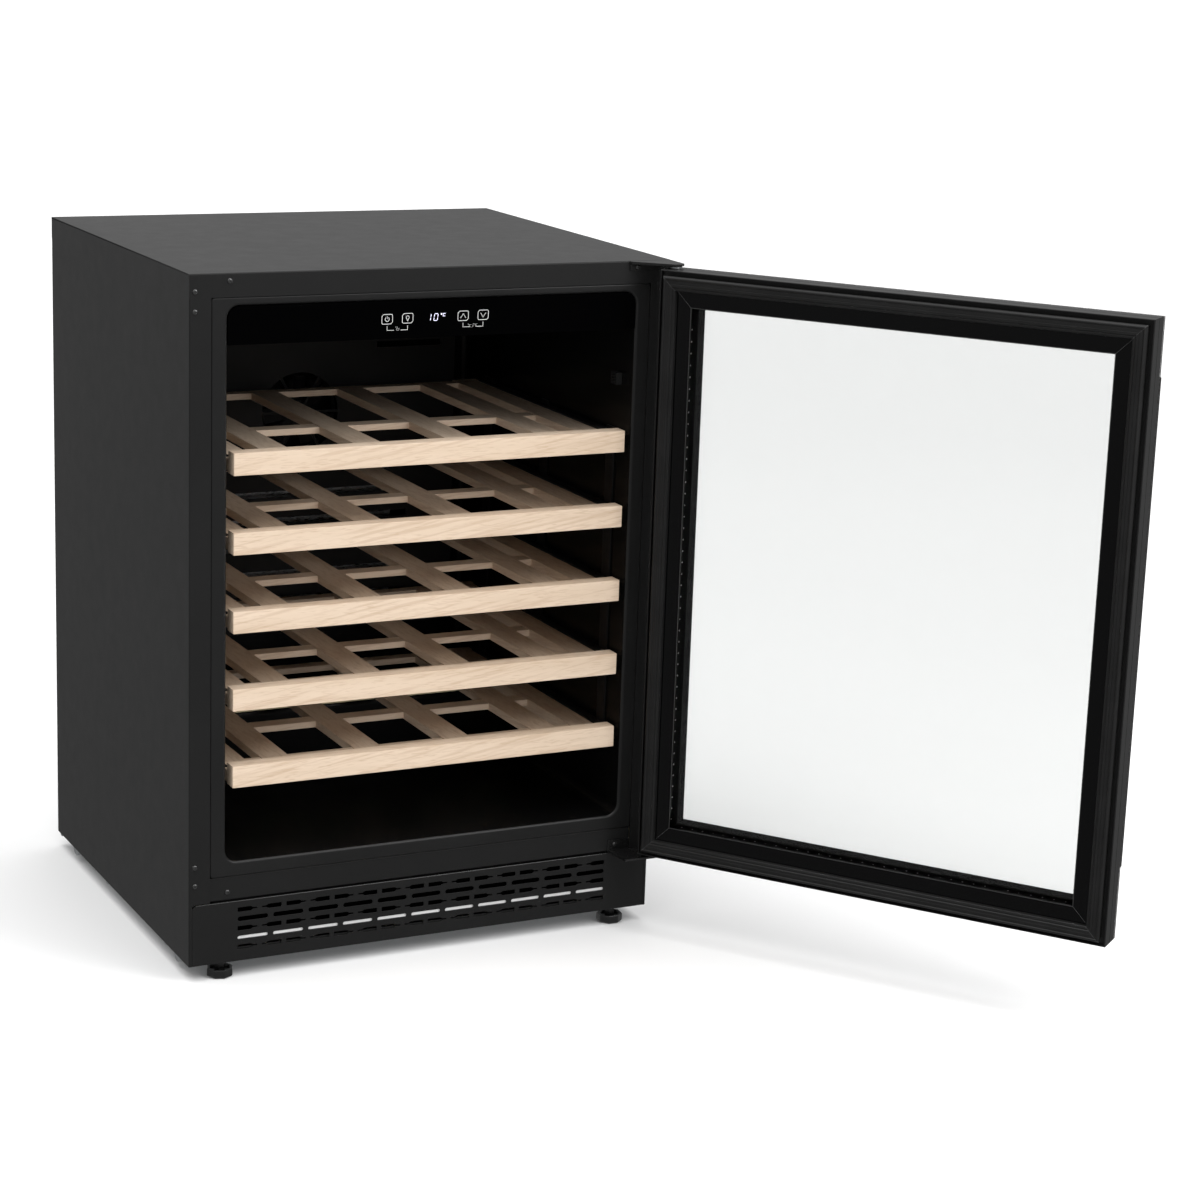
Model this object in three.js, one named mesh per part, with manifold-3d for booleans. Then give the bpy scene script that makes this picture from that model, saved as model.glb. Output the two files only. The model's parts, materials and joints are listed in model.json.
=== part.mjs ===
// Undercounter wine cooler, 60 cm wide, with its glass door standing open and its shelves pushed in.
// Millimetres. +Z is up, the door side faces -Y, and +X is to the right of someone facing the door.
// The origin is the centre of the underside of the base pan. The levelling feet reach below it.

import * as THREE from 'three';
import { mergeVertices } from 'three/addons/utils/BufferGeometryUtils.js';
import Module from 'manifold-3d';

// ---- Driving dimensions ----

const GAP = 0.3; // clearance between pieces that touch
const SHEET = 1.2; // steel panels

// cabinet
const WIDTH = 595;
const DEPTH = 532;
const HEIGHT = 806;
const STILE = 25.5; // width of the side panels' front flanges
const TOP_RAIL = 27; // height of the top panel's front flange
const PLINTH = 75; // height of the ventilated kick plate
const KICK_SHEET = 1.4;
const CROSSBAR = 30; // height of the bar above the kick plate
const CROSSBAR_RECESS = 2;
const PAN_SHEET = 1.5;
const PAN_TOP = 2.5;
const PAN_FLOOR = PAN_TOP + GAP; // what stands on the base pan starts here
const PAN_RAIL = { halfWidth: 246, bottom: 22, top: 34 }; // bright rail behind the kick plate

// inner liner and the wine compartment
const WALL = 2; // liner wall
const OPENING = { halfWidth: 253, bottom: 123, top: 769, corner: 14 };
const CAVITY_BACK = 212;
const STEP = { front: 60, top: 205 }; // raised floor over the compressor bay
const BAY = { front: 97, top: 165, floor: 80 }; // underside of the insulation

// shelves, counted from the top
const SHELF_TOPS = [603.5, 512, 420.5, 329, 237.5];
const SHELF = { halfWidth: 245, boardHeight: 26, boardDepth: 20, back: 168 };
const RAIL = { outer: 244.5, width: 34, drop: 10, height: 14 }; // side rails, dropped below the board's top
const SLAT = { width: 34, height: 10, drop: 10, spacing: 116, count: 4 };
const CROSS_RAIL = { drop: 11, height: 8 };

// air duct on the back wall
const DUCT = { halfWidth: 215, bottom: 270, top: 715, front: 172, fanZ: 560, fanRadius: 52 };

// control panel
const PANEL = { bottom: 725.5, thickness: 4 };

// door, measured from its hinge-side edge (across) and from its inner face (depth)
const DOOR = { width: 595, bottom: 81, top: 800, thickness: 37, glass: 4, standOff: 9.4 };
const DOOR_OPEN_DEGREES = 126.2;
const PIN = { across: 9.5, depth: 20.6, radius: 4, clearance: 0.1, collar: 7.5, reach: 16 };
const WINDOW_INSET = 42; // door edge to the clear glass
const PANE = { inset: 22, from: 8, to: 12 }; // inner pane
const GASKET = { outer: 6, inner: 23.5, proud: 8.9, keyOuter: 11, keyInner: 14, keyDepth: 4.2 };
const HINGE_PLATE = 3;
const HANDLE = { bottom: 166, top: 732, width: 22, proud: 4 };

// levelling feet
const FOOT = { x: 255, front: -252, back: 215, radius: 16, pad: 10.5, height: 20, stud: 4 };

// refrigeration
const FAN_AXIS = { x: 72, y: 180, z: 84 };
const SHAFT = { radius: 2, bore: 2.5, length: 6, start: 9 };
const COMPRESSOR = { x: -62, y: 180, radius: 60, bottom: 15, top: 152 };
const GROMMETS = [[-66, -42], [66, -42], [-66, 42], [66, 42]];

const SIDE = WIDTH / 2;
const FRONT = -DEPTH / 2;
const REAR = DEPTH / 2;
const GLASS_FROM = DOOR.thickness - DOOR.glass; // inner side of the outer pane
const ARC_STEPS = 3; // half the number of facets in each rounded corner

// ---- Colours ----

const paint = (color, roughness, metalness) => (
  new THREE.MeshStandardMaterial({ color, roughness, metalness })
);
const BLACK_STEEL = paint(0x2b2b2c, 0.5, 0.4);
const BLACK_PLASTIC = paint(0x1b1b1c, 0.6, 0);
const GLOSS_BLACK = paint(0x0a0a0b, 0.12, 0);
const BEECH = paint(0xe7cda8, 0.55, 0);
const GALVANISED = paint(0xb5b8ba, 0.4, 0.9);
const ALUMINIUM = paint(0xc8cacc, 0.35, 0.9);
const COPPER = paint(0xb87345, 0.3, 1);
const RUBBER = paint(0x161616, 0.9, 0);
const CLEAR_GLASS = paint(0xdde6e6, 0.05, 0);
const FOAM = paint(0xe8dfb8, 0.9, 0);
const BOARD_GREEN = paint(0x1d5a35, 0.5, 0);
const LAMP_WHITE = paint(0xf4f6ff, 0.3, 0);

// ---- Solid modelling helpers ----

const wasm = await Module();
wasm.setup();

// Welds equal corners and drops the flat triangles that a lathe leaves on its axis.
function weld(geometry) {
  const bare = geometry.clone();
  bare.deleteAttribute('normal');
  bare.deleteAttribute('uv');
  const welded = mergeVertices(bare, 1e-4);
  const corners = welded.index.array;
  const kept = [];
  for (let i = 0; i < corners.length; i += 3) {
    const [a, b, c] = [corners[i], corners[i + 1], corners[i + 2]];
    if (a !== b && b !== c && c !== a) kept.push(a, b, c);
  }
  welded.setIndex(kept);
  return welded;
}

function toSolid(geometry) {
  const welded = weld(geometry);
  const vertProperties = new Float32Array(welded.attributes.position.array);
  const triVerts = new Uint32Array(welded.index.array);
  return new wasm.Manifold(new wasm.Mesh({ numProp: 3, vertProperties, triVerts }));
}

function toGeometry(solid) {
  const mesh = solid.getMesh();
  const geometry = new THREE.BufferGeometry();
  geometry.setAttribute('position', new THREE.BufferAttribute(mesh.vertProperties, 3));
  geometry.setIndex(new THREE.BufferAttribute(mesh.triVerts, 1));
  geometry.computeVertexNormals();
  return geometry;
}

const join = (...pieces) => toGeometry(pieces.map(toSolid).reduce((sum, piece) => sum.add(piece)));

function cut(body, ...tools) {
  const removed = tools.map(toSolid).reduce((sum, piece) => sum.add(piece));
  return toGeometry(toSolid(body).subtract(removed));
}

const span = (a, b) => [Math.min(a, b), Math.max(a, b)];

function block([x0, x1], [y0, y1], [z0, z1]) {
  const box = new THREE.BoxGeometry(x1 - x0, y1 - y0, z1 - z0);
  return box.translate((x0 + x1) / 2, (y0 + y1) / 2, (z0 + z1) / 2);
}

const outline = (points) => new THREE.Shape(points.map(([a, b]) => new THREE.Vector2(a, b)));
const rectangle = (a0, a1, b0, b1) => outline([[a0, b0], [a1, b0], [a1, b1], [a0, b1]]);

function roundedRectangle(a0, a1, b0, b1, radius) {
  const shape = new THREE.Shape();
  shape.absarc(a1 - radius, b0 + radius, radius, -Math.PI / 2, 0);
  shape.absarc(a1 - radius, b1 - radius, radius, 0, Math.PI / 2);
  shape.absarc(a0 + radius, b1 - radius, radius, Math.PI / 2, Math.PI);
  shape.absarc(a0 + radius, b0 + radius, radius, Math.PI, Math.PI * 1.5);
  return shape;
}

const extrude = (shape, depth, curveSegments = ARC_STEPS) => (
  new THREE.ExtrudeGeometry(shape, { depth, bevelEnabled: false, curveSegments })
);

// An outline in X and Z, from y0 back to y1.
const facePlate = (shape, y0, y1, curveSegments = ARC_STEPS) => (
  extrude(shape, y1 - y0, curveSegments).rotateX(Math.PI / 2).translate(0, y1, 0)
);

const halfDisc = (a, b, radius) => new THREE.Shape().absarc(a, b, radius, Math.PI, Math.PI * 2);

// An outline in Y and Z, from x0 to x1.
const sideBar = (shape, x0, x1) => (
  extrude(shape, x1 - x0).rotateX(Math.PI / 2).rotateZ(Math.PI / 2).translate(x0, 0, 0)
);

// An outline in X and Y, from z0 up to z1.
const floorPlate = (shape, z0, z1) => extrude(shape, z1 - z0).translate(0, 0, z0);

function post(radius, [x, y], [z0, z1], sides = 16) {
  const rod = new THREE.CylinderGeometry(radius, radius, z1 - z0, sides).rotateX(Math.PI / 2);
  return rod.translate(x, y, (z0 + z1) / 2);
}

// A turned piece about a vertical axis. The profile lists [radius, height] from the bottom up.
function turned(profile, sides = 24) {
  const points = profile.map(([r, h]) => new THREE.Vector2(r, h));
  return weld(new THREE.LatheGeometry(points, sides).rotateX(Math.PI / 2));
}

function add(parent, name, geometry, material) {
  const mesh = new THREE.Mesh(geometry, material);
  mesh.name = name;
  parent.add(mesh);
  return mesh;
}

function groupAt(parent, x, y, z) {
  const group = new THREE.Group();
  group.position.set(x, y, z);
  parent.add(group);
  return group;
}

// ---- Cabinet ----

// One side sheet with a front stile, a short return beside the kick plate and a rear flange.
function sidePanel(side) {
  const face = side * SIDE;
  const inner = side * (SIDE - SHEET);
  const top = HEIGHT - SHEET - GAP;
  const stileTop = HEIGHT - TOP_RAIL - GAP;
  const plinthReturn = 4.2;
  const rearFlange = 17.5;
  return join(
    block(span(face, inner), [FRONT, REAR], [0, stileTop]),
    block(span(face, inner), [FRONT + SHEET + GAP, REAR], [stileTop - 1, top]),
    block(span(face, side * (SIDE - STILE)), [FRONT, FRONT + SHEET], [PLINTH + GAP, stileTop]),
    block(span(face, side * (SIDE - plinthReturn)), [FRONT, FRONT + SHEET], [0, PLINTH + GAP]),
    block(span(face, side * (SIDE - rearFlange)), [REAR - SHEET, REAR], [0, top]),
  );
}

function topPanel() {
  const rearDrop = 18;
  return join(
    block([-SIDE, SIDE], [FRONT, REAR], [HEIGHT - SHEET, HEIGHT]),
    block([-SIDE, SIDE], [FRONT, FRONT + SHEET], [HEIGHT - TOP_RAIL, HEIGHT]),
    block([-SIDE + 18, SIDE - 18], [REAR - SHEET, REAR], [HEIGHT - rearDrop, HEIGHT]),
  );
}

function rearPanel() {
  const x = SIDE - SHEET - GAP;
  const y = REAR - SHEET - GAP;
  const sheet = block([-x, x], [y - SHEET, y], [235, HEIGHT - SHEET - GAP]);
  const rib = (z) => block([-200, 200], [y - SHEET, y + SHEET], [z, z + 12]);
  return join(sheet, ...[330, 500, 670].map(rib));
}

// Pan with turned-up sides, a pressed-down middle, welded nuts for the feet, side tabs and glides.
// A bright rail stands across its front edge, behind the lower slots of the kick plate.
function basePan() {
  const x = SIDE - SHEET - GAP;
  const [y0, y1] = [FRONT + SHEET + 2 * GAP, REAR - SHEET - GAP];
  const underside = PAN_TOP - PAN_SHEET;
  const pressing = 120;
  const corners = [FOOT.front, FOOT.back].flatMap((fy) => [[-FOOT.x, fy], [FOOT.x, fy]]);
  const nuts = corners.map((at) => post(9, at, [underside, 9], 6));
  const studHoles = corners.map((at) => post(FOOT.stud + PIN.clearance, at, [-1, 10]));
  const edges = [-1, 1].flatMap((side) => {
    const glide = (y) => sideBar(halfDisc(y, underside, 13), side * 289 - 5, side * 289 + 5);
    const tab = (y) => block(span(side * x, side * (x - 2)), [y - 3, y + 3], [-4, 2]);
    const upturn = block(span(side * x, side * (x - PAN_SHEET)), [y0, y1], [underside, 22]);
    return [upturn, ...[-212, 196].map(glide), ...[-173, 55, 255].map(tab)];
  });
  const across = (halfWidth) => [-halfWidth, halfWidth];
  const rail = block(across(PAN_RAIL.halfWidth), [y0, y0 + PAN_SHEET], [PAN_RAIL.bottom, PAN_RAIL.top]);
  const railLegs = [-1, 1].map((side) => {
    const leg = span(side * PAN_RAIL.halfWidth, side * (PAN_RAIL.halfWidth - 6));
    return block(leg, [y0, y0 + PAN_SHEET], [underside, PAN_RAIL.top]);
  });
  const pan = join(
    rail,
    ...railLegs,
    block([-x, x], [y0, y1], [underside, PAN_TOP]),
    block(across(pressing), across(pressing), [0, PAN_SHEET]),
    ...nuts,
    ...edges,
  );
  const pocket = pressing - PAN_SHEET;
  return cut(pan, block(across(pocket), across(pocket), [PAN_SHEET, PAN_TOP + 1]), ...studHoles);
}

// Channel section that ties the two stiles together above the kick plate.
function bottomCrossbar() {
  const y = FRONT + CROSSBAR_RECESS;
  const [z0, z1] = [PLINTH + GAP, PLINTH + CROSSBAR - GAP];
  const returnDepth = 14;
  const channel = outline([
    [y, z0], [y + returnDepth, z0], [y + returnDepth, z0 + 1.5], [y + 1.5, z0 + 1.5],
    [y + 1.5, z1 - 1.5], [y + returnDepth, z1 - 1.5], [y + returnDepth, z1], [y, z1],
  ]);
  const x = SIDE - STILE - GAP;
  return sideBar(channel, -x, x);
}

// A wine bottle lying on its side, with its neck towards +X when facing is 1.
function bottleOutline(x, z, facing) {
  const [body, neck] = [2.5, 0.9];
  const upper = [[-12, body], [2.5, body], [5.5, neck], [12, neck]].map(([a, b]) => [x + facing * a, z + b]);
  const lower = upper.map(([a, b]) => [a, 2 * z - b]).reverse();
  return outline([...upper, ...lower]);
}

// A slot with rounded ends, lying along the first axis unless it is taller than it is long.
function slotOutline(a, b, length, height) {
  const slot = new THREE.Shape();
  if (length > height) {
    const end = (length - height) / 2;
    slot.absarc(a + end, b, height / 2, -Math.PI / 2, Math.PI / 2);
    slot.absarc(a - end, b, height / 2, Math.PI / 2, Math.PI * 1.5);
  } else {
    const end = (height - length) / 2;
    slot.absarc(a, b + end, length / 2, 0, Math.PI);
    slot.absarc(a, b - end, length / 2, Math.PI, Math.PI * 2);
  }
  return slot;
}

// Kick plate with three rows of bottle shapes, neck to neck, and two rows of slots between them.
function kickGrille() {
  const halfWidth = 293;
  const halfPattern = 238;
  const [y0, y1] = [FRONT, FRONT + KICK_SHEET];
  const bottles = { count: 16, length: 24, rows: [63, 40, 17] };
  const slots = { count: 11, length: 37.5, height: 4.5, rows: [51.5, 28.5] };
  const plate = new THREE.Shape();
  plate.moveTo(-halfWidth, GAP);
  plate.lineTo(halfWidth, GAP);
  plate.absarc(halfWidth - 5, PLINTH - 5.3, 5, 0, Math.PI / 2);
  plate.absarc(-halfWidth + 5, PLINTH - 5.3, 5, Math.PI / 2, Math.PI);
  const place = (i, { count, length }) => (
    -halfPattern + length / 2 + (i * (2 * halfPattern - length)) / (count - 1)
  );
  const row = (pattern, shapeAt) => pattern.rows.flatMap((z) => (
    Array.from({ length: pattern.count }, (_, i) => (
      facePlate(shapeAt(place(i, pattern), z, i), y0 - 1, y1 + 1, 1)
    ))
  ));
  return cut(
    facePlate(plate, y0, y1, 2),
    ...row(bottles, (x, z, i) => bottleOutline(x, z, i % 2 ? -1 : 1)),
    ...row(slots, (x, z) => slotOutline(x, z, slots.length, slots.height)),
  );
}

// Dust filter pad in the air intake, behind the upper rows of the kick plate.
function intakeFilter() {
  const front = FRONT + KICK_SHEET + GAP;
  const { halfWidth, top } = PAN_RAIL;
  return block([-halfWidth, halfWidth], [front, front + 6], [top + GAP, PLINTH - 3]);
}

// Side outline of the wine compartment, grown outwards by a margin.
function cavitySolid(grow, front) {
  const { halfWidth, bottom, top, corner } = OPENING;
  const tub = roundedRectangle(
    -halfWidth - grow, halfWidth + grow, bottom - grow, top + grow, corner + grow,
  );
  const step = block(
    [-SIDE, SIDE], [STEP.front + grow, REAR], [0, STEP.top - grow],
  );
  return cut(facePlate(tub, front, CAVITY_BACK + grow), step);
}

function liner() {
  const x = SIDE - STILE - GAP;
  const flange = facePlate(
    rectangle(-x, x, PLINTH + CROSSBAR, HEIGHT - TOP_RAIL - GAP), FRONT, FRONT + WALL,
  );
  return cut(join(cavitySolid(WALL, FRONT), flange), cavitySolid(0, FRONT - 1));
}

function insulationFoam() {
  const front = FRONT + WALL + GAP;
  const behindCrossbar = FRONT + 16.5;
  const back = REAR - 2 * SHEET - 2 * GAP;
  const top = HEIGHT - SHEET - 2 * GAP;
  const profile = outline([
    [front, top], [front, PLINTH + CROSSBAR + GAP], [behindCrossbar, PLINTH + CROSSBAR + GAP],
    [behindCrossbar, BAY.floor], [BAY.front, BAY.floor], [BAY.front, BAY.top], [back, BAY.top], [back, top],
  ]);
  const x = SIDE - SHEET - GAP;
  return cut(sideBar(profile, -x, x), cavitySolid(WALL + GAP, FRONT - 1));
}

function rearCover() {
  const [y0, y1] = [REAR - SHEET, REAR];
  const plate = facePlate(rectangle(-SIDE + 18, SIDE - 18, 8, 232), y0, y1);
  const vents = [70, 150].flatMap((z) => (
    Array.from({ length: 11 }, (_, i) => (
      facePlate(slotOutline((i - 5) * 40, z, 8, 50), y0 - 1, y1 + 1, 1)
    ))
  ));
  return cut(plate, ...vents, block([-244, -214], [y0 - 1, y1 + 1], [24, 46]));
}

function powerInlet() {
  const flange = block([-248, -210], [REAR + GAP, REAR + 2.3], [20, 50]);
  const body = block([-243.5, -214.5], [REAR - 22, REAR + GAP + 1], [24.5, 45.5]);
  const recess = block([-240.5, -217.5], [REAR - 14, REAR + 4], [27.5, 42.5]);
  const blades = [-235, -229, -223].map((x) => block([x - 1, x + 1], [REAR - 15, REAR - 8], [32, 38]));
  return join(cut(join(flange, body), recess), ...blades);
}

function foot() {
  const { radius, pad, height, stud } = FOOT;
  const body = post(radius, [0, 0], [-height, pad - height], 8);
  const dish = post(radius - 4.5, [0, 0], [pad - height - 2.5, height]);
  return join(
    cut(body, dish),
    post(6.5, [0, 0], [pad - height - 3, PAN_TOP - PAN_SHEET - GAP], 6),
    post(stud, [0, 0], [-height + 2, 26], 12),
  );
}

function buildCabinet(root) {
  const cabinet = groupAt(root, 0, 0, 0);
  add(cabinet, 'side_panel_left', sidePanel(-1), BLACK_STEEL);
  add(cabinet, 'side_panel_right', sidePanel(1), BLACK_STEEL);
  add(cabinet, 'top_panel', topPanel(), BLACK_STEEL);
  add(cabinet, 'rear_panel', rearPanel(), GALVANISED);
  add(cabinet, 'base_pan', basePan(), GALVANISED);
  add(cabinet, 'bottom_crossbar', bottomCrossbar(), BLACK_STEEL);
  add(cabinet, 'kick_grille', kickGrille(), BLACK_STEEL);
  add(cabinet, 'intake_filter', intakeFilter(), BLACK_PLASTIC);
  add(cabinet, 'liner', liner(), BLACK_PLASTIC);
  add(cabinet, 'insulation_foam', insulationFoam(), FOAM);
  add(cabinet, 'rear_cover', rearCover(), GALVANISED);
  add(cabinet, 'power_inlet', powerInlet(), BLACK_PLASTIC);
  for (const [row, y] of [['front', FOOT.front], ['rear', FOOT.back]]) {
    for (const [side, x] of [['left', -FOOT.x], ['right', FOOT.x]]) {
      add(groupAt(cabinet, x, y, 0), `foot_${row}_${side}`, foot(), BLACK_PLASTIC);
    }
  }
}

// ---- Controls, light and sensor ----

function controlPanel() {
  const x = OPENING.halfWidth - GAP;
  const top = OPENING.top - GAP;
  const radius = OPENING.corner;
  const face = new THREE.Shape();
  face.moveTo(-x, PANEL.bottom);
  face.lineTo(x, PANEL.bottom);
  face.absarc(x - radius, top - radius, radius, 0, Math.PI / 2);
  face.absarc(-x + radius, top - radius, radius, Math.PI / 2, Math.PI);
  return facePlate(face, FRONT, FRONT + PANEL.thickness);
}

function controlHousing() {
  const y = FRONT + PANEL.thickness + GAP;
  const [z0, z1] = [PANEL.bottom + 2, OPENING.top - GAP];
  return cut(
    block([-236, 236], [y, y + 62], [z0, z1]),
    block([-234, 234], [y - 1, y + 60], [z0 + 2, z1 - 2]),
  );
}

function controlBoard() {
  const y = FRONT + PANEL.thickness + 2;
  const board = block([-90, 80], [y, y + 1.6], [733, 762]);
  const display = block([-14, 14], [y - 1.5, y + 1], [741, 756]);
  const chips = [-70, -46, 40].map((x) => block([x, x + 12], [y + 1, y + 4], [742, 754]));
  return join(board, display, ...chips);
}

function lightBar() {
  const lens = roundedRectangle(-233, -219, 719.5, PANEL.bottom + 1.7, 3);
  return sideBar(lens, -150, 150);
}

function temperatureSensor() {
  const x = OPENING.halfWidth - GAP;
  const body = block([x - 8, x], [FRONT + 28, FRONT + 42], [654, 668]);
  const vents = [657, 660.5, 664].map((z) => block([x - 9, x - 6], [FRONT + 31, FRONT + 39], [z, z + 1.5]));
  return cut(body, ...vents);
}

function buildControls(root) {
  add(root, 'control_panel', controlPanel(), GLOSS_BLACK);
  add(root, 'control_housing', controlHousing(), BLACK_PLASTIC);
  add(root, 'control_board', controlBoard(), BOARD_GREEN);
  add(root, 'light_bar', lightBar(), LAMP_WHITE);
  add(root, 'temperature_sensor', temperatureSensor(), BLACK_PLASTIC);
}

// ---- Air circulation on the back wall ----

// Outline of a finned heat exchanger: fins stand on one base strip.
function finOutline(a0, b0, { count, pitch, fin, height, base }) {
  const points = [[a0, b0]];
  for (let i = 0; i < count; i += 1) {
    const a = a0 + i * pitch;
    points.push([a, b0 + height], [a + fin, b0 + height], [a + fin, b0 + base]);
    if (i < count - 1) points.push([a + pitch, b0 + base]);
  }
  const last = a0 + (count - 1) * pitch + fin;
  points.push([last, b0]);
  return outline(points.reverse());
}

function evaporator() {
  const fins = { count: 22, pitch: 13, fin: 1, height: 11, base: 2 };
  return floorPlate(finOutline(-137, 196, fins), 310, 500);
}

function airDuctCover() {
  const { halfWidth, bottom, top, front, fanZ, fanRadius } = DUCT;
  const shell = cut(
    block([-halfWidth, halfWidth], [front, CAVITY_BACK - GAP], [bottom, top]),
    block([-halfWidth + 2, halfWidth - 2], [front + 2, CAVITY_BACK + 1], [bottom + 2, top - 2]),
  );
  const slots = [310, 345, 380, 415, 450].map((z) => block([-150, 150], [front - 1, front + 3], [z, z + 8]));
  const louvres = [-1, 1].flatMap((s) => [640, 665, 690].map((z) => (
    block([s * 150 - 45, s * 150 + 45], [front - 1, front + 3], [z, z + 8])
  )));
  const inlet = new THREE.CylinderGeometry(fanRadius, fanRadius, 6, 32).translate(0, front, fanZ);
  const spokes = [0, 1, 2].map((i) => (
    block([-fanRadius - 1, fanRadius + 1], [front, front + 2], [-1.5, 1.5])
      .rotateY((i * Math.PI) / 3).translate(0, 0, fanZ)
  ));
  return join(cut(shell, inlet, ...slots, ...louvres), ...spokes);
}

// A fan wheel about the Y axis, centred on its hub, with its shaft towards +Y.
function fanWheel({ radius, hub, depth, blades, pitchAngle }) {
  const core = new THREE.CylinderGeometry(hub, hub, depth, 20);
  const shaft = new THREE.CylinderGeometry(SHAFT.radius, SHAFT.radius, SHAFT.length, 12)
    .translate(0, depth / 2 + SHAFT.length / 2 - 1, 0);
  const blade = new THREE.Shape();
  blade.moveTo(-hub * 0.5, 0);
  blade.lineTo(hub * 0.5, 0);
  blade.quadraticCurveTo(hub * 0.75, radius * 0.6, hub * 1.0, radius * 0.93);
  blade.lineTo(-hub * 0.35, radius * 0.98);
  blade.quadraticCurveTo(-hub * 0.5, radius * 0.5, -hub * 0.5, 0);
  const wings = Array.from({ length: blades }, (_, i) => (
    facePlate(blade, -0.8, 0.8).rotateZ(pitchAngle).rotateY((i * 2 * Math.PI) / blades)
  ));
  return join(core, shaft, ...wings);
}

function fanBracket() {
  const { fanRadius } = DUCT;
  const ring = new THREE.Shape().absarc(0, 0, fanRadius + 4, 0, Math.PI * 2);
  ring.holes.push(new THREE.Path().absarc(0, 0, fanRadius, 0, Math.PI * 2));
  const hoop = new THREE.ExtrudeGeometry(ring, { depth: 4, bevelEnabled: false, curveSegments: 16 })
    .rotateX(Math.PI / 2).translate(0, 12, 0);
  const arms = [0, 1, 2, 3].map((i) => (
    block([12, fanRadius + 2], [9, 11.5], [-2.5, 2.5]).rotateY(Math.PI / 4 + (i * Math.PI) / 2)
  ));
  const motor = new THREE.CylinderGeometry(15, 15, 5, 20).translate(0, 11, 0);
  const bore = new THREE.CylinderGeometry(SHAFT.bore, SHAFT.bore, 8, 16).translate(0, 11, 0);
  return cut(join(hoop, motor, ...arms), bore);
}

function buildAirSystem(root) {
  add(root, 'evaporator', evaporator(), ALUMINIUM);
  add(root, 'air_duct_cover', airDuctCover(), BLACK_PLASTIC);
  const fan = groupAt(root, 0, DUCT.front + 12, DUCT.fanZ);
  const wheel = fanWheel({ radius: 47, hub: 14, depth: 12, blades: 7, pitchAngle: 0.45 });
  add(fan, 'circulation_fan_rotor', wheel, BLACK_PLASTIC);
  add(fan, 'circulation_fan_motor', fanBracket(), BLACK_PLASTIC);
}

// ---- Shelves and their side racks ----

// Beech front board with its upper and lower edges eased.
function shelfBoard() {
  const { halfWidth, boardHeight, boardDepth } = SHELF;
  const section = outline([
    [FRONT + 1.5, -boardHeight], [FRONT + boardDepth, -boardHeight], [FRONT + boardDepth, 0],
    [FRONT + 1.5, 0], [FRONT, -1.5], [FRONT, -boardHeight + 1.5],
  ]);
  return sideBar(section, -halfWidth, halfWidth);
}

// Side rails, cross rails and the slats that the bottles lie between.
function shelfFrame() {
  const front = FRONT + SHELF.boardDepth + GAP;
  const below = ({ drop, height }) => [-drop - height, -drop];
  const rails = [-1, 1].map((s) => (
    block(span(s * RAIL.outer, s * (RAIL.outer - RAIL.width)), [front, SHELF.back], below(RAIL))
  ));
  const reach = RAIL.outer - RAIL.width / 2;
  const crossRails = [[front + 2, 38], [-90, 22], [SHELF.back - 20, 18]].map(([y, depth]) => (
    block([-reach, reach], [y, y + depth], below(CROSS_RAIL))
  ));
  const slats = Array.from({ length: SLAT.count }, (_, i) => {
    const x = (i - (SLAT.count - 1) / 2) * SLAT.spacing;
    const half = SLAT.width / 2;
    return block([x - half, x + half], [front + 8, SHELF.back - 9], below(SLAT));
  });
  return join(...rails, ...crossRails, ...slats);
}

// A wall plate with a channel for each shelf's side rail.
function shelfRack(side) {
  const wall = OPENING.halfWidth - GAP;
  const plate = wall - 2;
  const across = (inner) => span(side * inner, side * wall);
  const [run, ledge] = [[-235, 150], 2];
  const bars = [-225, -40, 130].map((y) => block(across(plate), [y, y + 20], [205, 600]));
  const channels = SHELF_TOPS.flatMap((top) => {
    const railTop = top - RAIL.drop + GAP;
    const railBottom = top - RAIL.drop - RAIL.height - GAP;
    return [
      block(across(plate), run, [railBottom - ledge, railTop + ledge]),
      block(across(RAIL.outer - 12), run, [railBottom - ledge, railBottom]),
      block(across(RAIL.outer - 4), run, [railTop, railTop + ledge]),
    ];
  });
  return join(...bars, ...channels);
}

function buildShelves(root) {
  add(root, 'shelf_rack_left', shelfRack(-1), BLACK_PLASTIC);
  add(root, 'shelf_rack_right', shelfRack(1), BLACK_PLASTIC);
  SHELF_TOPS.forEach((top, i) => {
    const shelf = groupAt(root, 0, 0, top);
    add(shelf, `shelf_${i + 1}_board`, shelfBoard(), BEECH);
    add(shelf, `shelf_${i + 1}_frame`, shelfFrame(), BEECH);
  });
}

// ---- Compressor bay ----

function compressor() {
  const { radius, bottom, top } = COMPRESSOR;
  const seam = (bottom + top) / 2;
  const shell = turned([
    [0, bottom], [radius * 0.7, bottom], [radius * 0.93, bottom + 14], [radius * 0.97, seam - 4],
    [radius, seam - 4], [radius, seam + 4], [radius * 0.96, seam + 4], [radius * 0.9, top - 24],
    [radius * 0.62, top - 6], [0, top],
  ]);
  const legs = cut(
    block([-78, 78], [-52, 52], [bottom - 3, bottom + 0.5]),
    ...GROMMETS.map((at) => post(5, at, [bottom - 5, bottom + 2])),
  );
  const stub = post(4, [-20, 0], [top - 6, top + 6], 10);
  return join(shell, legs, stub);
}

function grommet() {
  const { bottom } = COMPRESSOR;
  return turned([
    [2.5, PAN_FLOOR], [10, PAN_FLOOR], [10, bottom - 3 - GAP], [4.6, bottom - 3 - GAP],
    [4.6, bottom + 4], [2.5, bottom + 4], [2.5, PAN_FLOOR],
  ], 12);
}

function terminalCover() {
  const { radius } = COMPRESSOR;
  const box = block([radius + 1, radius + 24], [-24, 24], [52, 104]);
  const lid = block([radius + 24, radius + 26], [-21, 21], [55, 101]);
  return join(box, lid);
}

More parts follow.
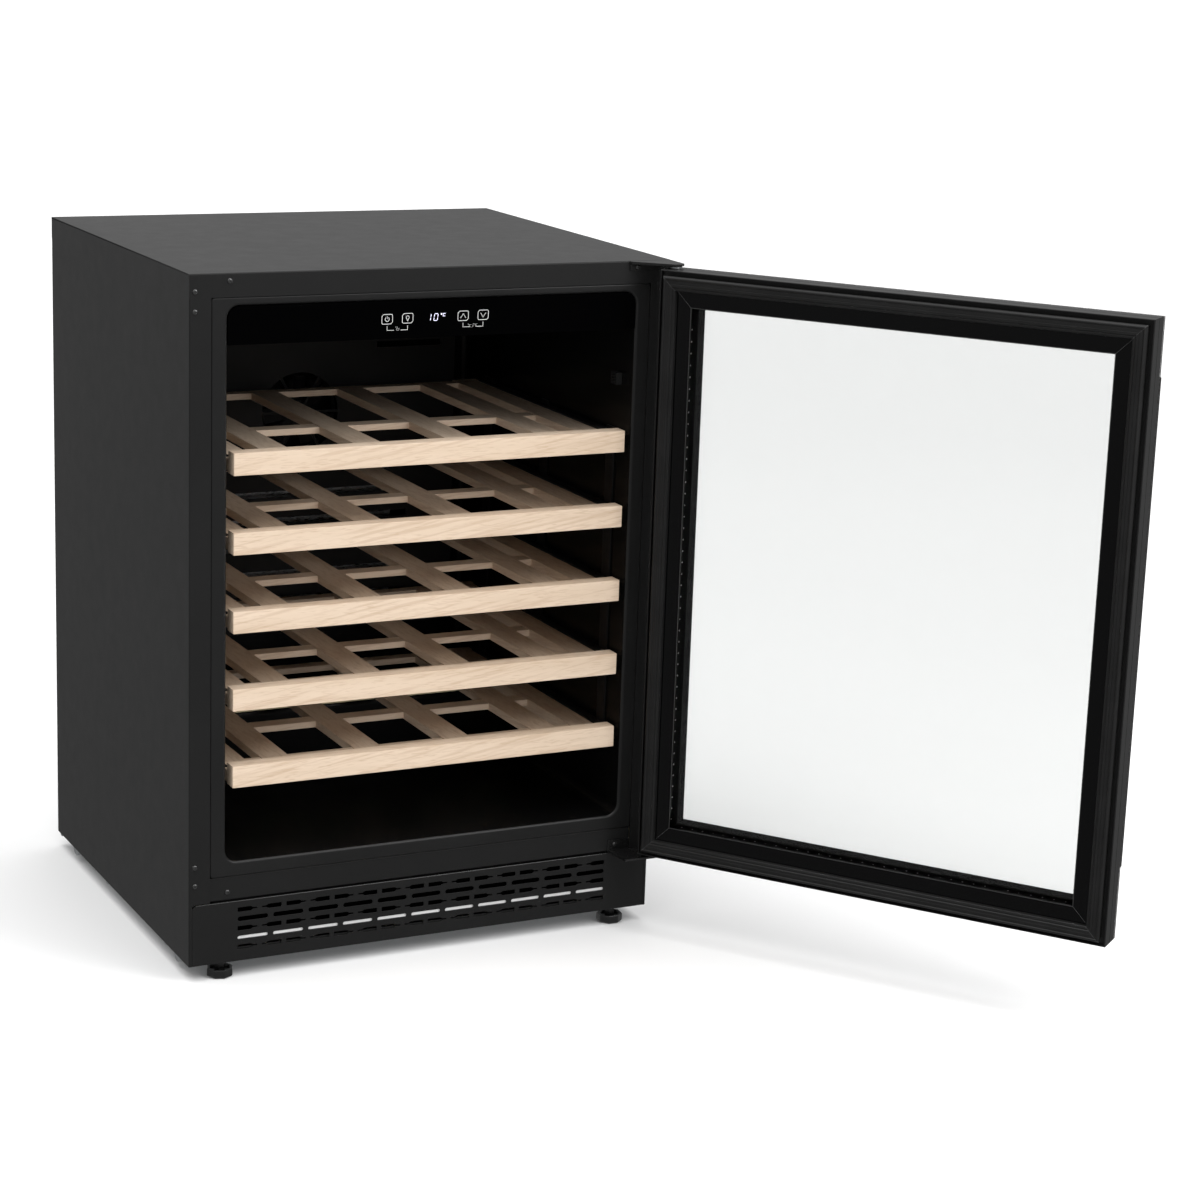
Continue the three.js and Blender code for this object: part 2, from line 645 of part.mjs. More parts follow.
// Block of upright fins between two tube plates, with the tubes' return bends outside the plates.
function condenser() {
  const [x0, x1] = [112, 240];
  const fins = { count: 24, pitch: 5.6, fin: 1, height: 100, base: 2 };
  const stack = sideBar(finOutline(113, 30, fins), x0, x1);
  const plates = [110, 242].map((y) => block([x0, x1], [y, y + 4], [PAN_FLOOR, 134]));
  const bends = [130, 170, 210].flatMap((x) => [45, 90].flatMap((z) => (
    [[102, 111], [245, 254]].map((ys) => block([x, x + 8], ys, [z, z + 33]))
  )));
  return join(stack, ...plates, ...bends);
}

// Square fan housing on a foot, with the motor held in its mouth by two crossing arms.
function fanShroud() {
  const half = 68;
  const opening = new THREE.CylinderGeometry(60, 60, 40, 32).rotateZ(Math.PI / 2);
  const frame = cut(block([-12, 14], [-half, half], [-half, half]), opening);
  const arms = [0, 1].map((i) => (
    block([9, 12], [-62, 62], [-3, 3]).rotateX(Math.PI / 4 + (i * Math.PI) / 2)
  ));
  const motor = new THREE.CylinderGeometry(19, 19, 16, 20).rotateZ(Math.PI / 2).translate(17, 0, 0);
  const base = block([-12, 14], [-half, half], [PAN_FLOOR - FAN_AXIS.z, 4 - half]);
  const bore = new THREE.CylinderGeometry(SHAFT.bore, SHAFT.bore, 8, 16).rotateZ(Math.PI / 2);
  return cut(join(frame, motor, ...arms, base), bore.translate(SHAFT.start + 2, 0, 0));
}

function dripTray() {
  return cut(
    block([-170, 90], [-150, 40], [PAN_FLOOR, 24]),
    block([-167, 87], [-147, 37], [PAN_FLOOR + 2.5, 30]),
  );
}

function filterDrier() {
  return turned([
    [0, 34], [2.2, 34], [2.2, 48], [9, 58], [9, 112], [3, 122], [3, 136], [0, 136],
  ], 16).translate(-205, 150, 0);
}

// Hot gas pipe from the compressor over the fan to the condenser.
function dischargePipe() {
  const { x, y, top } = COMPRESSOR;
  const bends = [
    [x - 20, y, top + 6.3 + GAP], [x - 20, y, 160.5], [x - 10, y, 161], [20, y, 161], [90, y, 161],
    [104, y, 158], [104.5, y, 140], [104.5, y, 122],
  ];
  const points = bends.map(([a, b, c]) => new THREE.Vector3(a, b, c));
  const route = new THREE.CatmullRomCurve3(points, false, 'centripetal');
  const section = new THREE.Shape().absarc(0, 0, 2.6, 0, Math.PI * 2);
  return new THREE.ExtrudeGeometry(section, { extrudePath: route, steps: 24, curveSegments: 4 });
}

function buildRefrigeration(root) {
  const bay = groupAt(root, COMPRESSOR.x, COMPRESSOR.y, 0);
  add(bay, 'compressor', compressor(), BLACK_STEEL);
  add(bay, 'compressor_terminal_cover', terminalCover(), BLACK_PLASTIC);
  GROMMETS.forEach(([x, y], i) => {
    add(groupAt(bay, x, y, 0), `compressor_grommet_${i + 1}`, grommet(), RUBBER);
  });
  add(root, 'condenser', condenser(), ALUMINIUM);
  const fan = groupAt(root, FAN_AXIS.x, FAN_AXIS.y, FAN_AXIS.z);
  add(fan, 'condenser_fan_shroud', fanShroud(), BLACK_PLASTIC);
  const wheel = fanWheel({ radius: 58, hub: 17, depth: 14, blades: 5, pitchAngle: 0.4 });
  add(fan, 'condenser_fan_rotor', wheel.rotateZ(-Math.PI / 2), BLACK_PLASTIC);
  add(root, 'drip_tray', dripTray(), BLACK_PLASTIC);
  add(root, 'filter_drier', filterDrier(), COPPER);
  add(root, 'discharge_pipe', dischargePipe(), COPPER);
}

// ---- Hinges ----

const PIN_X = SIDE - PIN.across;
const PIN_Y = FRONT - DOOR.standOff - PIN.depth;

function topHingePlate() {
  const [left, root] = [243, FRONT - GAP];
  const plate = outline([
    [left, root], [left, root - 5], [282, PIN_Y - 9], [292, PIN_Y - 9], [SIDE, PIN_Y - 4], [SIDE, root],
  ].reverse());
  const z = HEIGHT - HINGE_PLATE;
  const lug = floorPlate(plate, z, HEIGHT);
  const flange = block([left, SIDE], [root - 1.7, root], [795, HEIGHT]);
  return cut(join(lug, flange), post(PIN.radius + PIN.clearance, [PIN_X, PIN_Y], [z - 1, HEIGHT + 1]));
}

function bottomHingeBracket() {
  const [left, root] = [242, FRONT - GAP];
  const z = PLINTH + GAP;
  const recessed = FRONT + CROSSBAR_RECESS - GAP;
  const stile = SIDE - STILE - 2 * GAP;
  const plate = outline([
    [left, recessed], [left + 4, PIN_Y - 11], [290, PIN_Y - 11], [SIDE, PIN_Y - 4], [SIDE, root],
    [stile, root], [stile, recessed],
  ]);
  const lug = floorPlate(plate, z, z + HINGE_PLATE - GAP);
  const flange = block([left, stile], [FRONT, recessed], [z, 91]);
  return cut(join(lug, flange), post(PIN.radius + PIN.clearance, [PIN_X, PIN_Y], [z - 1, z + 4]));
}

// Stepped pin with a collar that keeps the door off the hinge plate.
function pinProfile([z0, c0, c1, z1]) {
  const { radius: r, collar } = PIN;
  return turned([[0, z0], [r, z0], [r, c0], [collar, c0], [collar, c1], [r, c1], [r, z1], [0, z1]], 16);
}

function buildHinges(root) {
  add(root, 'hinge_top_plate', topHingePlate(), BLACK_STEEL);
  add(root, 'hinge_bottom_bracket', bottomHingeBracket(), BLACK_STEEL);
  const pins = groupAt(root, PIN_X, PIN_Y, 0);
  const below = PLINTH + HINGE_PLATE + GAP;
  const above = HEIGHT - HINGE_PLATE - GAP;
  const upper = pinProfile([DOOR.top - PIN.reach, DOOR.top + GAP, above, HEIGHT - GAP]);
  const lower = pinProfile([PLINTH + GAP, below, DOOR.bottom - GAP, DOOR.bottom + PIN.reach]);
  add(pins, 'hinge_pin_top', upper, GALVANISED);
  add(pins, 'hinge_pin_bottom', lower, GALVANISED);
}

// ---- Door, drawn closed around its hinge pin and then turned open ----

const doorX = (across) => PIN.across - across;
const doorY = (depth) => PIN.depth - depth;

const doorRectangle = (inset) => rectangle(
  doorX(DOOR.width - inset), doorX(inset), DOOR.bottom + inset, DOOR.top - inset,
);

function doorPane(inset, from, to) {
  return facePlate(doorRectangle(inset), doorY(to), doorY(from));
}

function doorRing(outer, inner, from, to) {
  const ring = doorRectangle(outer);
  ring.holes.push(doorRectangle(inner));
  return facePlate(ring, doorY(to), doorY(from));
}

function doorFrame() {
  const rebate = 20;
  const key = doorRing(GASKET.keyOuter - GAP, GASKET.keyInner + GAP, -1, GASKET.keyDepth + GAP);
  const bore = PIN.radius + PIN.clearance;
  return cut(
    join(
      doorRing(0, rebate, 0, GLASS_FROM - GAP),
      doorRing(0, 31.7, PANE.to + GAP, GLASS_FROM - GAP),
    ),
    key,
    post(bore, [0, 0], [DOOR.bottom - 1, DOOR.bottom + 17]),
    post(bore, [0, 0], [DOOR.top - 17, DOOR.top + 1]),
  );
}

function doorGasket() {
  const { outer, inner, proud, keyOuter, keyInner, keyDepth } = GASKET;
  return join(
    doorRing(outer, inner, -proud, -GAP),
    doorRing(keyOuter, keyInner, -1, keyDepth),
  );
}

// Pull strip along the opening edge, bevelled on the side away from it.
function doorHandle() {
  const { bottom, top, width, proud } = HANDLE;
  const edge = doorX(DOOR.width);
  const face = doorY(DOOR.thickness + GAP);
  const grip = outline([
    [edge, face], [edge, face - proud], [edge + width - proud, face - proud], [edge + width, face],
  ]);
  return floorPlate(grip, bottom, top);
}

function buildDoor(root) {
  const door = groupAt(root, PIN_X, PIN_Y, 0);
  door.rotation.z = THREE.MathUtils.degToRad(DOOR_OPEN_DEGREES);
  const spacer = [32 + GAP, 37, PANE.to + GAP, GLASS_FROM - GAP];
  add(door, 'door_frame', doorFrame(), BLACK_PLASTIC);
  add(door, 'door_inner_trim', doorRing(20 + GAP, WINDOW_INSET, 0, PANE.from - GAP), GLOSS_BLACK);
  add(door, 'door_glass_inner', doorPane(PANE.inset, PANE.from, PANE.to), CLEAR_GLASS);
  add(door, 'glass_spacer', doorRing(...spacer), ALUMINIUM);
  add(door, 'door_glass_outer', doorPane(0, GLASS_FROM, DOOR.thickness), CLEAR_GLASS);
  add(door, 'door_gasket', doorGasket(), RUBBER);
  add(door, 'door_handle', doorHandle(), BLACK_STEEL);
}

// ---- Assembly ----

const wineCooler = new THREE.Group();
buildCabinet(wineCooler);
buildControls(wineCooler);
buildAirSystem(wineCooler);
buildShelves(wineCooler);
buildRefrigeration(wineCooler);
buildHinges(wineCooler);
buildDoor(wineCooler);

export default wineCooler;
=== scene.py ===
# The looks of an undercounter wine cooler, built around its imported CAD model.
# Shapes are drawn in millimetres in the model's own frame and scaled to metres when each piece is made.

import json
import math

import bmesh
import bpy
from mathutils import Matrix, Vector


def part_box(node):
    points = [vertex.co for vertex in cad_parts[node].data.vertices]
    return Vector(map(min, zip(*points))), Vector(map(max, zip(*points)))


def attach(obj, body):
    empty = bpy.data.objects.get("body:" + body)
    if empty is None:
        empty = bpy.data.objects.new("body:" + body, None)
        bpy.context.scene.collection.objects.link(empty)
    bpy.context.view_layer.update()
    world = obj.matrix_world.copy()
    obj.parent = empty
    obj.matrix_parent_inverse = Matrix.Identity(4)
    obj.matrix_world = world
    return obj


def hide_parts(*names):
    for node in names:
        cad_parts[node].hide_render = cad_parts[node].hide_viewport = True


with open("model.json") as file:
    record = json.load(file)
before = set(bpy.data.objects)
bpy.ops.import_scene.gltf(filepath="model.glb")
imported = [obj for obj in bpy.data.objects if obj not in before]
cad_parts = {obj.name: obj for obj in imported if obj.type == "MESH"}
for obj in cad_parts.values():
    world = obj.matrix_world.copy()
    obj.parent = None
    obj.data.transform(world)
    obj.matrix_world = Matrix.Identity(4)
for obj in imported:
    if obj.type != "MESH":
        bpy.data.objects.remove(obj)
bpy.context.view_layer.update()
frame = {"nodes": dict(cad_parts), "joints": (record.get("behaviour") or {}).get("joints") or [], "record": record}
MM = 0.001


# ---- Places taken from the frame ----


def box_mm(node):
    low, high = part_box(node)
    return low / MM, high / MM


joints = {joint["name"]: joint for joint in frame["joints"]}
top_low, top_high = box_mm("top_panel")
SIDE, FRONT, REAR, TOP = top_high.x, top_low.y, top_high.y, top_high.z
liner_low, liner_high = box_mm("liner")
frame_low, frame_high = box_mm("door_frame")
PIN = Vector(joints["door_hinge"]["pos_m"]) / MM
DOOR_OPEN = -math.radians(joints["door_hinge"]["range_deg"][0])
DOOR_BOTTOM, DOOR_TOP = frame_low.z, frame_high.z
DOOR_WIDTH = 2 * SIDE
SHELVES = range(1, 6)
FEET = [f"foot_{row}_{side}" for row in ("front", "rear") for side in ("left", "right")]

SHEET = 1.2
BEND = 1.6  # outer radius of the sheet's folds
REAR_FLANGE = 17.5
STILE_INNER = 272
RAIL_BOTTOM = 779
PLINTH = 75
THREAD_PITCH = 1.6
PUNCHED_REACH = 238  # half the width of the kick plate's rows of holes
OPENING = {"half": 253, "low": 123, "high": 769, "radius": 14}
CAVITY_BACK = 212
DOOR_THICK = 37
DOOR_GAP = 9.4  # from the cabinet's front to the inner face of the closed door
PIN_ACROSS = SIDE - PIN.x
PIN_DEPTH = FRONT - DOOR_GAP - PIN.y
SHARP_ANGLE = 32
BEVEL_ANGLE = 35


# ---- Mesh building ----


def arc(centre, radius, start, end, steps):
    """Points of an arc, angles in degrees."""
    angles = [math.radians(start + (end - start) * i / steps) for i in range(steps + 1)]
    return [(centre[0] + radius * math.cos(a), centre[1] + radius * math.sin(a)) for a in angles]


def rounded(x0, x1, z0, z1, radius, steps=6):
    """Outline of a rectangle with rounded corners."""
    r = max(radius, 0.01)
    return (
        arc((x1 - r, z0 + r), r, -90, 0, steps)
        + arc((x1 - r, z1 - r), r, 0, 90, steps)
        + arc((x0 + r, z1 - r), r, 90, 180, steps)
        + arc((x0 + r, z0 + r), r, 180, 270, steps)
    )


def lift(points, axis, at):
    """Puts a flat outline into space, square to an axis. The outline's two numbers keep X, Y, Z order."""
    if axis == "x":
        return [Vector((at, a, b)) for a, b in points]
    if axis == "y":
        return [Vector((a, at, b)) for a, b in points]
    return [Vector((a, b, at)) for a, b in points]


class Solid:
    """Collects closed shapes in millimetres and makes one object of them."""

    def __init__(self):
        self.bm = bmesh.new()

    def skin(self, loops, look=0, wrap=False, caps=True):
        """Faces between loops of equal length. wrap joins the last loop to the first."""
        rows = [[self.bm.verts.new(p) for p in loop] for loop in loops]
        pairs = list(zip(rows, rows[1:]))
        if wrap:
            pairs.append((rows[-1], rows[0]))
        faces = []
        for a, b in pairs:
            for i in range(len(a)):
                j = (i + 1) % len(a)
                faces.append(self.bm.faces.new((a[i], a[j], b[j], b[i])))
        if caps and not wrap:
            faces.append(self.bm.faces.new(rows[0]))
            faces.append(self.bm.faces.new(rows[-1]))
        for face in faces:
            face.material_index = look
        return faces

    def prism(self, outline, axis, start, end, look=0):
        self.skin([lift(outline, axis, start), lift(outline, axis, end)], look)

    def block(self, xs, ys, zs, look=0):
        corners = [(xs[0], ys[0]), (xs[1], ys[0]), (xs[1], ys[1]), (xs[0], ys[1])]
        self.prism(corners, "z", zs[0], zs[1], look)

    def turned(self, profile, centre, axis, steps, phase=0.0):
        """A lathe shape about an axis through centre. The profile lists (radius, distance along the axis)."""
        loops = []
        for radius, along in profile:
            ring = arc((0, 0), max(radius, 0.02), phase, phase + 360, steps)[:-1]
            loops.append([p + Vector(centre) for p in lift(ring, axis, along)])
        self.skin(loops)

    def bevel(self, width, segments):
        """Rounds every edge that turns by more than BEVEL_ANGLE."""
        bmesh.ops.recalc_face_normals(self.bm, faces=self.bm.faces)
        sharp = [
            e for e in self.bm.edges
            if len(e.link_faces) == 2 and e.calc_face_angle(0) > math.radians(BEVEL_ANGLE)
        ]
        bmesh.ops.bevel(
            self.bm, geom=sharp, offset=width, offset_type="OFFSET", segments=segments,
            profile=0.5, affect="EDGES", clamp_overlap=True,
        )

    def piece(self, name, looks, body, replaced=(), bevel=0.0, place=None, segments=2):
        """Ends the drawing: one object of one or more looks, moved by place if that is given."""
        if bevel:
            self.bevel(bevel, segments)
        bmesh.ops.recalc_face_normals(self.bm, faces=self.bm.faces)
        self.bm.transform(Matrix.Scale(MM, 4) @ (place or Matrix.Identity(4)))
        mesh = bpy.data.meshes.new(name)
        self.bm.to_mesh(mesh)
        self.bm.free()
        finish_piece(name, mesh, looks, body, replaced)


def finish_piece(name, mesh, looks, body, replaced=(), sharp=SHARP_ANGLE):
    """Materials, smooth shading that keeps sharp edges, and the piece's place in the frame."""
    for look in looks if isinstance(looks, list) else [looks]:
        mesh.materials.append(look)
    for polygon in mesh.polygons:
        polygon.use_smooth = True
    mesh.set_sharp_from_angle(angle=math.radians(sharp))
    obj = bpy.data.objects.new(name, mesh)
    bpy.context.scene.collection.objects.link(obj)
    shading = obj.modifiers.new("flat_faces_stay_flat", "WEIGHTED_NORMAL")
    shading.keep_sharp = True
    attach(obj, body)
    if replaced:
        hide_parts(*replaced)


def curve_mesh(splines, flat, extrude=0.0, bevel=0.0):
    """Mesh of a curve through lists of points. Flat curves are filled, and loops inside loops are holes."""
    curve = bpy.data.curves.new("outline", "CURVE")
    curve.dimensions = "2D" if flat else "3D"
    if flat:
        curve.fill_mode = "BOTH"
    else:
        curve.use_fill_caps = True
    curve.extrude = extrude
    curve.bevel_depth = bevel
    curve.bevel_resolution = 1
    for points, closed in splines:
        spline = curve.splines.new("POLY")
        spline.points.add(len(points) - 1)
        for target, point in zip(spline.points, points):
            target.co = (*point, 0, 1) if len(point) == 2 else (*point, 1)
        spline.use_cyclic_u = closed
    holder = bpy.data.objects.new("outline", curve)
    bpy.context.scene.collection.objects.link(holder)
    depsgraph = bpy.context.evaluated_depsgraph_get()
    mesh = bpy.data.meshes.new_from_object(holder.evaluated_get(depsgraph))
    bpy.data.objects.remove(holder)
    bpy.data.curves.remove(curve)
    mesh.materials.clear()
    return mesh


def punched_plate(name, outline, holes, ys, look, body, replaced, edge):
    """A plate in X and Z with holes. Its edges are rounded by edge, which narrows the holes as much."""
    loops = [(outline, True)] + [(hole, True) for hole in holes]
    mesh = curve_mesh(loops, True, (ys[1] - ys[0]) / 2 - edge, edge)
    upright = Matrix.Rotation(math.pi / 2, 4, "X")
    mesh.transform(Matrix.Scale(MM, 4) @ Matrix.Translation((0, (ys[0] + ys[1]) / 2, 0)) @ upright)
    finish_piece(name, mesh, look, body, replaced)


# ---- Materials ----


class Look:
    """A node material in short steps. Texture coordinates are the object's own, in metres."""

    def __init__(self, name, color, roughness, metallic=0.0, specular=0.5):
        self.material = bpy.data.materials.new(name)
        self.material.use_nodes = True
        self.tree = self.material.node_tree
        self.shader = self.tree.nodes["Principled BSDF"]
        self.set("Base Color", (*color, 1))
        self.set("Roughness", roughness)
        self.set("Metallic", metallic)
        self.set("Specular IOR Level", specular)

    def set(self, socket, value):
        """A constant on one of the shader's own sockets."""
        self.shader.inputs[socket].default_value = value

    def node(self, kind, **inputs):
        """A new node with the given values on its inputs."""
        made = self.tree.nodes.new(kind)
        for name, value in inputs.items():
            made.inputs[name].default_value = value
        return made

    def link(self, output, target):
        self.tree.links.new(output, target)

    def coords(self, stretch=(1, 1, 1), turn=(0, 0, 0)):
        """The object's own coordinates, turned and then stretched."""
        vector = self.node("ShaderNodeTexCoord").outputs["Object"]
        for values in ({"Rotation": turn}, {"Scale": stretch}):
            mapping = self.node("ShaderNodeMapping", **values)
            self.link(vector, mapping.inputs["Vector"])
            vector = mapping.outputs["Vector"]
        return vector

    def noise(self, scale, detail=3.0, roughness=0.5, stretch=(1, 1, 1), distortion=0.0, turn=(0, 0, 0)):
        made = self.node(
            "ShaderNodeTexNoise", Scale=scale, Detail=detail, Roughness=roughness, Distortion=distortion
        )
        self.link(self.coords(stretch, turn), made.inputs["Vector"])
        return made.outputs["Fac"]

    def ramp(self, value, *stops):
        """stops are (position, colour or grey)."""
        made = self.node("ShaderNodeValToRGB")
        elements = made.color_ramp.elements
        while len(elements) < len(stops):
            elements.new(0.5)
        for element, (position, color) in zip(elements, stops):
            element.position = position
            element.color = (*color, 1) if isinstance(color, tuple) else (color, color, color, 1)
        self.link(value, made.inputs["Fac"])
        return made.outputs["Color"]

    def mix(self, factor, a, b):
        """Blends two colours, or a colour and another node's output."""
        made = self.tree.nodes.new("ShaderNodeMix")
        made.data_type = "RGBA"
        colour_a, colour_b = made.inputs[6], made.inputs[7]
        self.link(factor, made.inputs["Factor"])
        for socket, value in ((colour_a, a), (colour_b, b)):
            if isinstance(value, tuple):
                socket.default_value = (*value, 1)
            else:
                self.link(value, socket)
        return made.outputs[2]

    def paint(self, output):
        self.link(output, self.shader.inputs["Base Color"])
        return self

    def rough(self, value, low, high):
        """Roughness that follows a texture between two values."""
        self.link(self.ramp(value, (0.3, low), (0.7, high)), self.shader.inputs["Roughness"])
        return self

    def bump(self, value, distance, strength=1.0):
        made = self.node("ShaderNodeBump", Strength=strength, Distance=distance)
        self.link(value, made.inputs["Height"])
        self.link(made.outputs["Normal"], self.shader.inputs["Normal"])
        return self


def black_paint(name, shade, specular):
    """Powder-coated steel: fine orange peel, faint handling marks."""
    look = Look(name, (shade,) * 3, 0.4, specular=specular)
    cloud = look.noise(7, 4)
    look.paint(look.ramp(cloud, (0.3, (shade * 0.95,) * 3), (0.7, (shade * 1.06,) * 3)))
    look.rough(look.noise(40, 6, 0.65), 0.38, 0.42)
    look.bump(look.noise(900, 2), 0.00006)
    return look.material


def moulded(name, shade, roughness, specular, spread=0.04):
    """Grey or black plastic with a fine moulded grain."""
    look = Look(name, (shade,) * 3, roughness, specular=specular)
    look.paint(look.ramp(look.noise(12, 3), (0.3, (shade * 0.9,) * 3), (0.7, (shade * 1.1,) * 3)))
    look.rough(look.noise(60, 4), roughness - spread, roughness + spread)
    look.bump(look.noise(1500, 2), 0.00005)
    return look.material


def gloss_black(name, specular):
    """Polished black plastic with the slight unevenness of a moulded face."""
    look = Look(name, (0.0008, 0.0008, 0.0009), 0.06, specular=specular)
    look.rough(look.noise(25, 5, 0.6), 0.04, 0.09)
    look.bump(look.noise(18, 2), 0.0001, 0.3)
    return look.material


def rubber():
    """Matt black gasket."""
    look = Look("gasket_rubber", (0.008, 0.008, 0.0085), 0.42, specular=0.25)
    look.paint(look.ramp(look.noise(30, 4), (0.3, (0.007,) * 3), (0.7, (0.010,) * 3)))
    look.rough(look.noise(90, 4), 0.36, 0.46)
    look.bump(look.noise(1200, 3), 0.00004)
    return look.material


def metal(name, color, roughness, grain, spangle=0.0):
    """Bare metal. grain stretches its brushing, and spangle adds the crystals of a zinc coat."""
    look = Look(name, color, roughness, metallic=1.0)
    dull = tuple(0.82 * c for c in color)
    pattern = look.noise(60, 4, 0.6, grain)
    if spangle:
        cells = look.node("ShaderNodeTexVoronoi", Scale=140.0)
        look.link(look.coords(), cells.inputs["Vector"])
        pattern = look.ramp(cells.outputs["Color"], (0.2, 0.2), (0.8, 0.8))
    look.paint(look.mix(pattern, dull, color))
    look.rough(look.noise(120, 3, 0.5, grain), roughness - 0.08, roughness + 0.1)
    look.bump(look.noise(800, 2, 0.5, grain), 0.00003)
    return look.material


def beech(name, along):
    """Pale steamed beech: long, slightly wavy growth lines along one axis and finer pores between them."""

    def grain(length, width, detail, distortion, lean=0.0):
        stretch = {"x": (length, width, width), "y": (width, length, width)}[along]
        turn = {"x": (0, lean, 0), "y": (lean, 0, 0)}[along]
        return look.noise(1, detail, 0.6, stretch, distortion, turn)

    look = Look(name, (0.66, 0.52, 0.405), 0.5, specular=0.35)
    growth = grain(2.2, 46, 5, 0.5)
    base = look.ramp(
        growth, (0.28, (0.60, 0.465, 0.34)), (0.5, (0.65, 0.515, 0.39)), (0.72, (0.69, 0.555, 0.43))
    )
    lines = look.ramp(grain(9, 230, 2, 0.25, 0.16), (0.5, 0.0), (0.62, 0.5))
    lined = look.mix(lines, base, (0.50, 0.36, 0.25))
    pores = look.ramp(grain(60, 900, 1, 0.0), (0.58, 0.0), (0.68, 0.42))
    look.paint(look.mix(pores, lined, (0.46, 0.32, 0.21)))
    look.rough(growth, 0.42, 0.56)
    look.bump(grain(12, 300, 3, 0.2), 0.00004)
    return look.material


def clear_glass():
    """Faintly grey panes whose reflections are held back, so that the black rim stays black."""
    look = Look("clear_glass", (0.83, 0.835, 0.832), 0.0)
    look.set("Specular Tint", (0.3, 0.3, 0.3, 1))
    look.set("Transmission Weight", 1.0)
    look.set("IOR", 1.45)
    look.link(look.ramp(look.noise(3, 2), (0.3, 0.0), (0.8, 0.02)), look.shader.inputs["Roughness"])
    return look.material


def glowing(name, color, strength):
    """A lit surface with a slightly uneven face."""
    look = Look(name, color, 0.4)
    look.paint(look.ramp(look.noise(200, 2), (0.3, tuple(0.95 * c for c in color)), (0.7, color)))
    look.set("Emission Color", (*color, 1))
    look.set("Emission Strength", strength)
    return look.material


def foam():
    """Yellowed insulating foam with a coarse skin."""
    look = Look("foam", (0.75, 0.68, 0.42), 0.9, specular=0.2)
    look.bump(look.noise(300, 5, 0.7), 0.0006)
    look.paint(look.ramp(look.noise(40, 5), (0.3, (0.66, 0.58, 0.34)), (0.7, (0.8, 0.73, 0.48))))
    return look.material


def circuit_board():
    """Green board with the faint pattern of its tracks."""
    look = Look("circuit_board", (0.01, 0.1, 0.035), 0.35)
    look.paint(look.ramp(look.noise(400, 2), (0.45, (0.01, 0.1, 0.035)), (0.55, (0.02, 0.16, 0.06))))
    return look.material


STEEL = black_paint("black_steel", 0.011, 0.18)
# The liner's inside is about three times darker than its flange, though both are one moulding: painted shade in
# the cavity.
LINER_SHADED = moulded("liner_black_painted_shade", 0.003, 0.26, 0.16, 0.01)
FLANGE = moulded("liner_flange", 0.010, 0.36, 0.24, 0.02)
# Filter foam near pure black and without sheen: partly its own black, partly painted shade behind the kick plate's
# holes.
SHADED_FILTER_FOAM = moulded("filter_foam_painted_shade", 0.0006, 0.9, 0.0)
# Pale strip behind the kick plate's slots: painted light in place of the bright backdrop seen through them.
PAINTED_LIGHT_STRIP = moulded("painted_light_strip", 0.72, 0.5, 0.4)
PLASTIC = moulded("black_plastic", 0.009, 0.42, 0.2)
FOOT = moulded("foot_plastic", 0.008, 0.24, 0.5)
SPACER = moulded("spacer_black", 0.002, 0.6, 0.05)
HINGE = moulded("hinge_black", 0.007, 0.26, 0.6, 0.02)
SCREW = moulded("blackened_screw", 0.012, 0.22, 1.0, 0.02)
# Pale grey fine lines on the door: painted highlights along the trim's bevelled inner edge and mitres, and on the
# gasket's real corner welds.
SEAM_HIGHLIGHT = moulded("seam_and_highlight", 0.06, 0.4, 0.3)
GLOSS = gloss_black("gloss_black", 0.0)
TRIM = gloss_black("trim_black", 0.2)
RUBBER = rubber()
ZINC = metal("galvanised_steel", (0.55, 0.57, 0.58), 0.38, (1, 1, 1), 1.0)
ALUMINIUM = metal("aluminium", (0.72, 0.73, 0.74), 0.3, (1, 1, 12))
COPPER = metal("copper", (0.72, 0.33, 0.18), 0.26, (1, 1, 1))
BEECH_X = beech("beech_across", "x")
BEECH_Y = beech("beech_lengthwise", "y")
GLASS = clear_glass()
LAMP = glowing("lamp_lens", (0.93, 0.95, 1.0), 2.0)
# The printed icons get a faint glow of their own: painted light on the print.
GLOWING_PRINT = glowing("printed_icon_glow", (0.85, 0.85, 0.85), 0.55)
DIGIT = glowing("lit_digit", (0.80, 0.78, 1.0), 1.1)
FOAM = foam()
BOARD = circuit_board()

CAD_LOOKS = {
    "black_steel": STEEL,
    "galvanised_steel": ZINC,
    "black_plastic": PLASTIC,
    "gloss_black": GLOSS,
    "foam": FOAM,
    "circuit_board": BOARD,
    "lamp_lens": LAMP,
    "aluminium": ALUMINIUM,
    "copper": COPPER,
    "rubber": RUBBER,
    "clear_glass": GLASS,
    "beech": BEECH_X,
}


def dress_cad_nodes():
    """Gives every CAD node the material of its slot. Nodes that a piece replaces are hidden later."""
    for part in frame["record"]["subparts"]:
        mesh = frame["nodes"][part["node"]].data
        mesh.materials.clear()
        mesh.materials.append(CAD_LOOKS[part["material_slot"]])


# ---- Cabinet ----


def side_outline(side, flange):
    """Section of a side sheet in X and Y, from its front flange round to its rear flange."""
    front_bend = arc((SIDE - BEND, FRONT + BEND), BEND, -90, 0, 5)
    rear_bend = arc((SIDE - BEND, REAR - BEND), BEND, 0, 90, 5)
    rear_tip = SIDE - REAR_FLANGE
    points = [(flange, FRONT + SHEET), (flange, FRONT), *front_bend, *rear_bend]
    points += [(rear_tip, REAR), (rear_tip, REAR - SHEET)]
    points += [(SIDE - SHEET, REAR - SHEET), (SIDE - SHEET, FRONT + SHEET)]
    return [(side * x, y) for x, y in points]


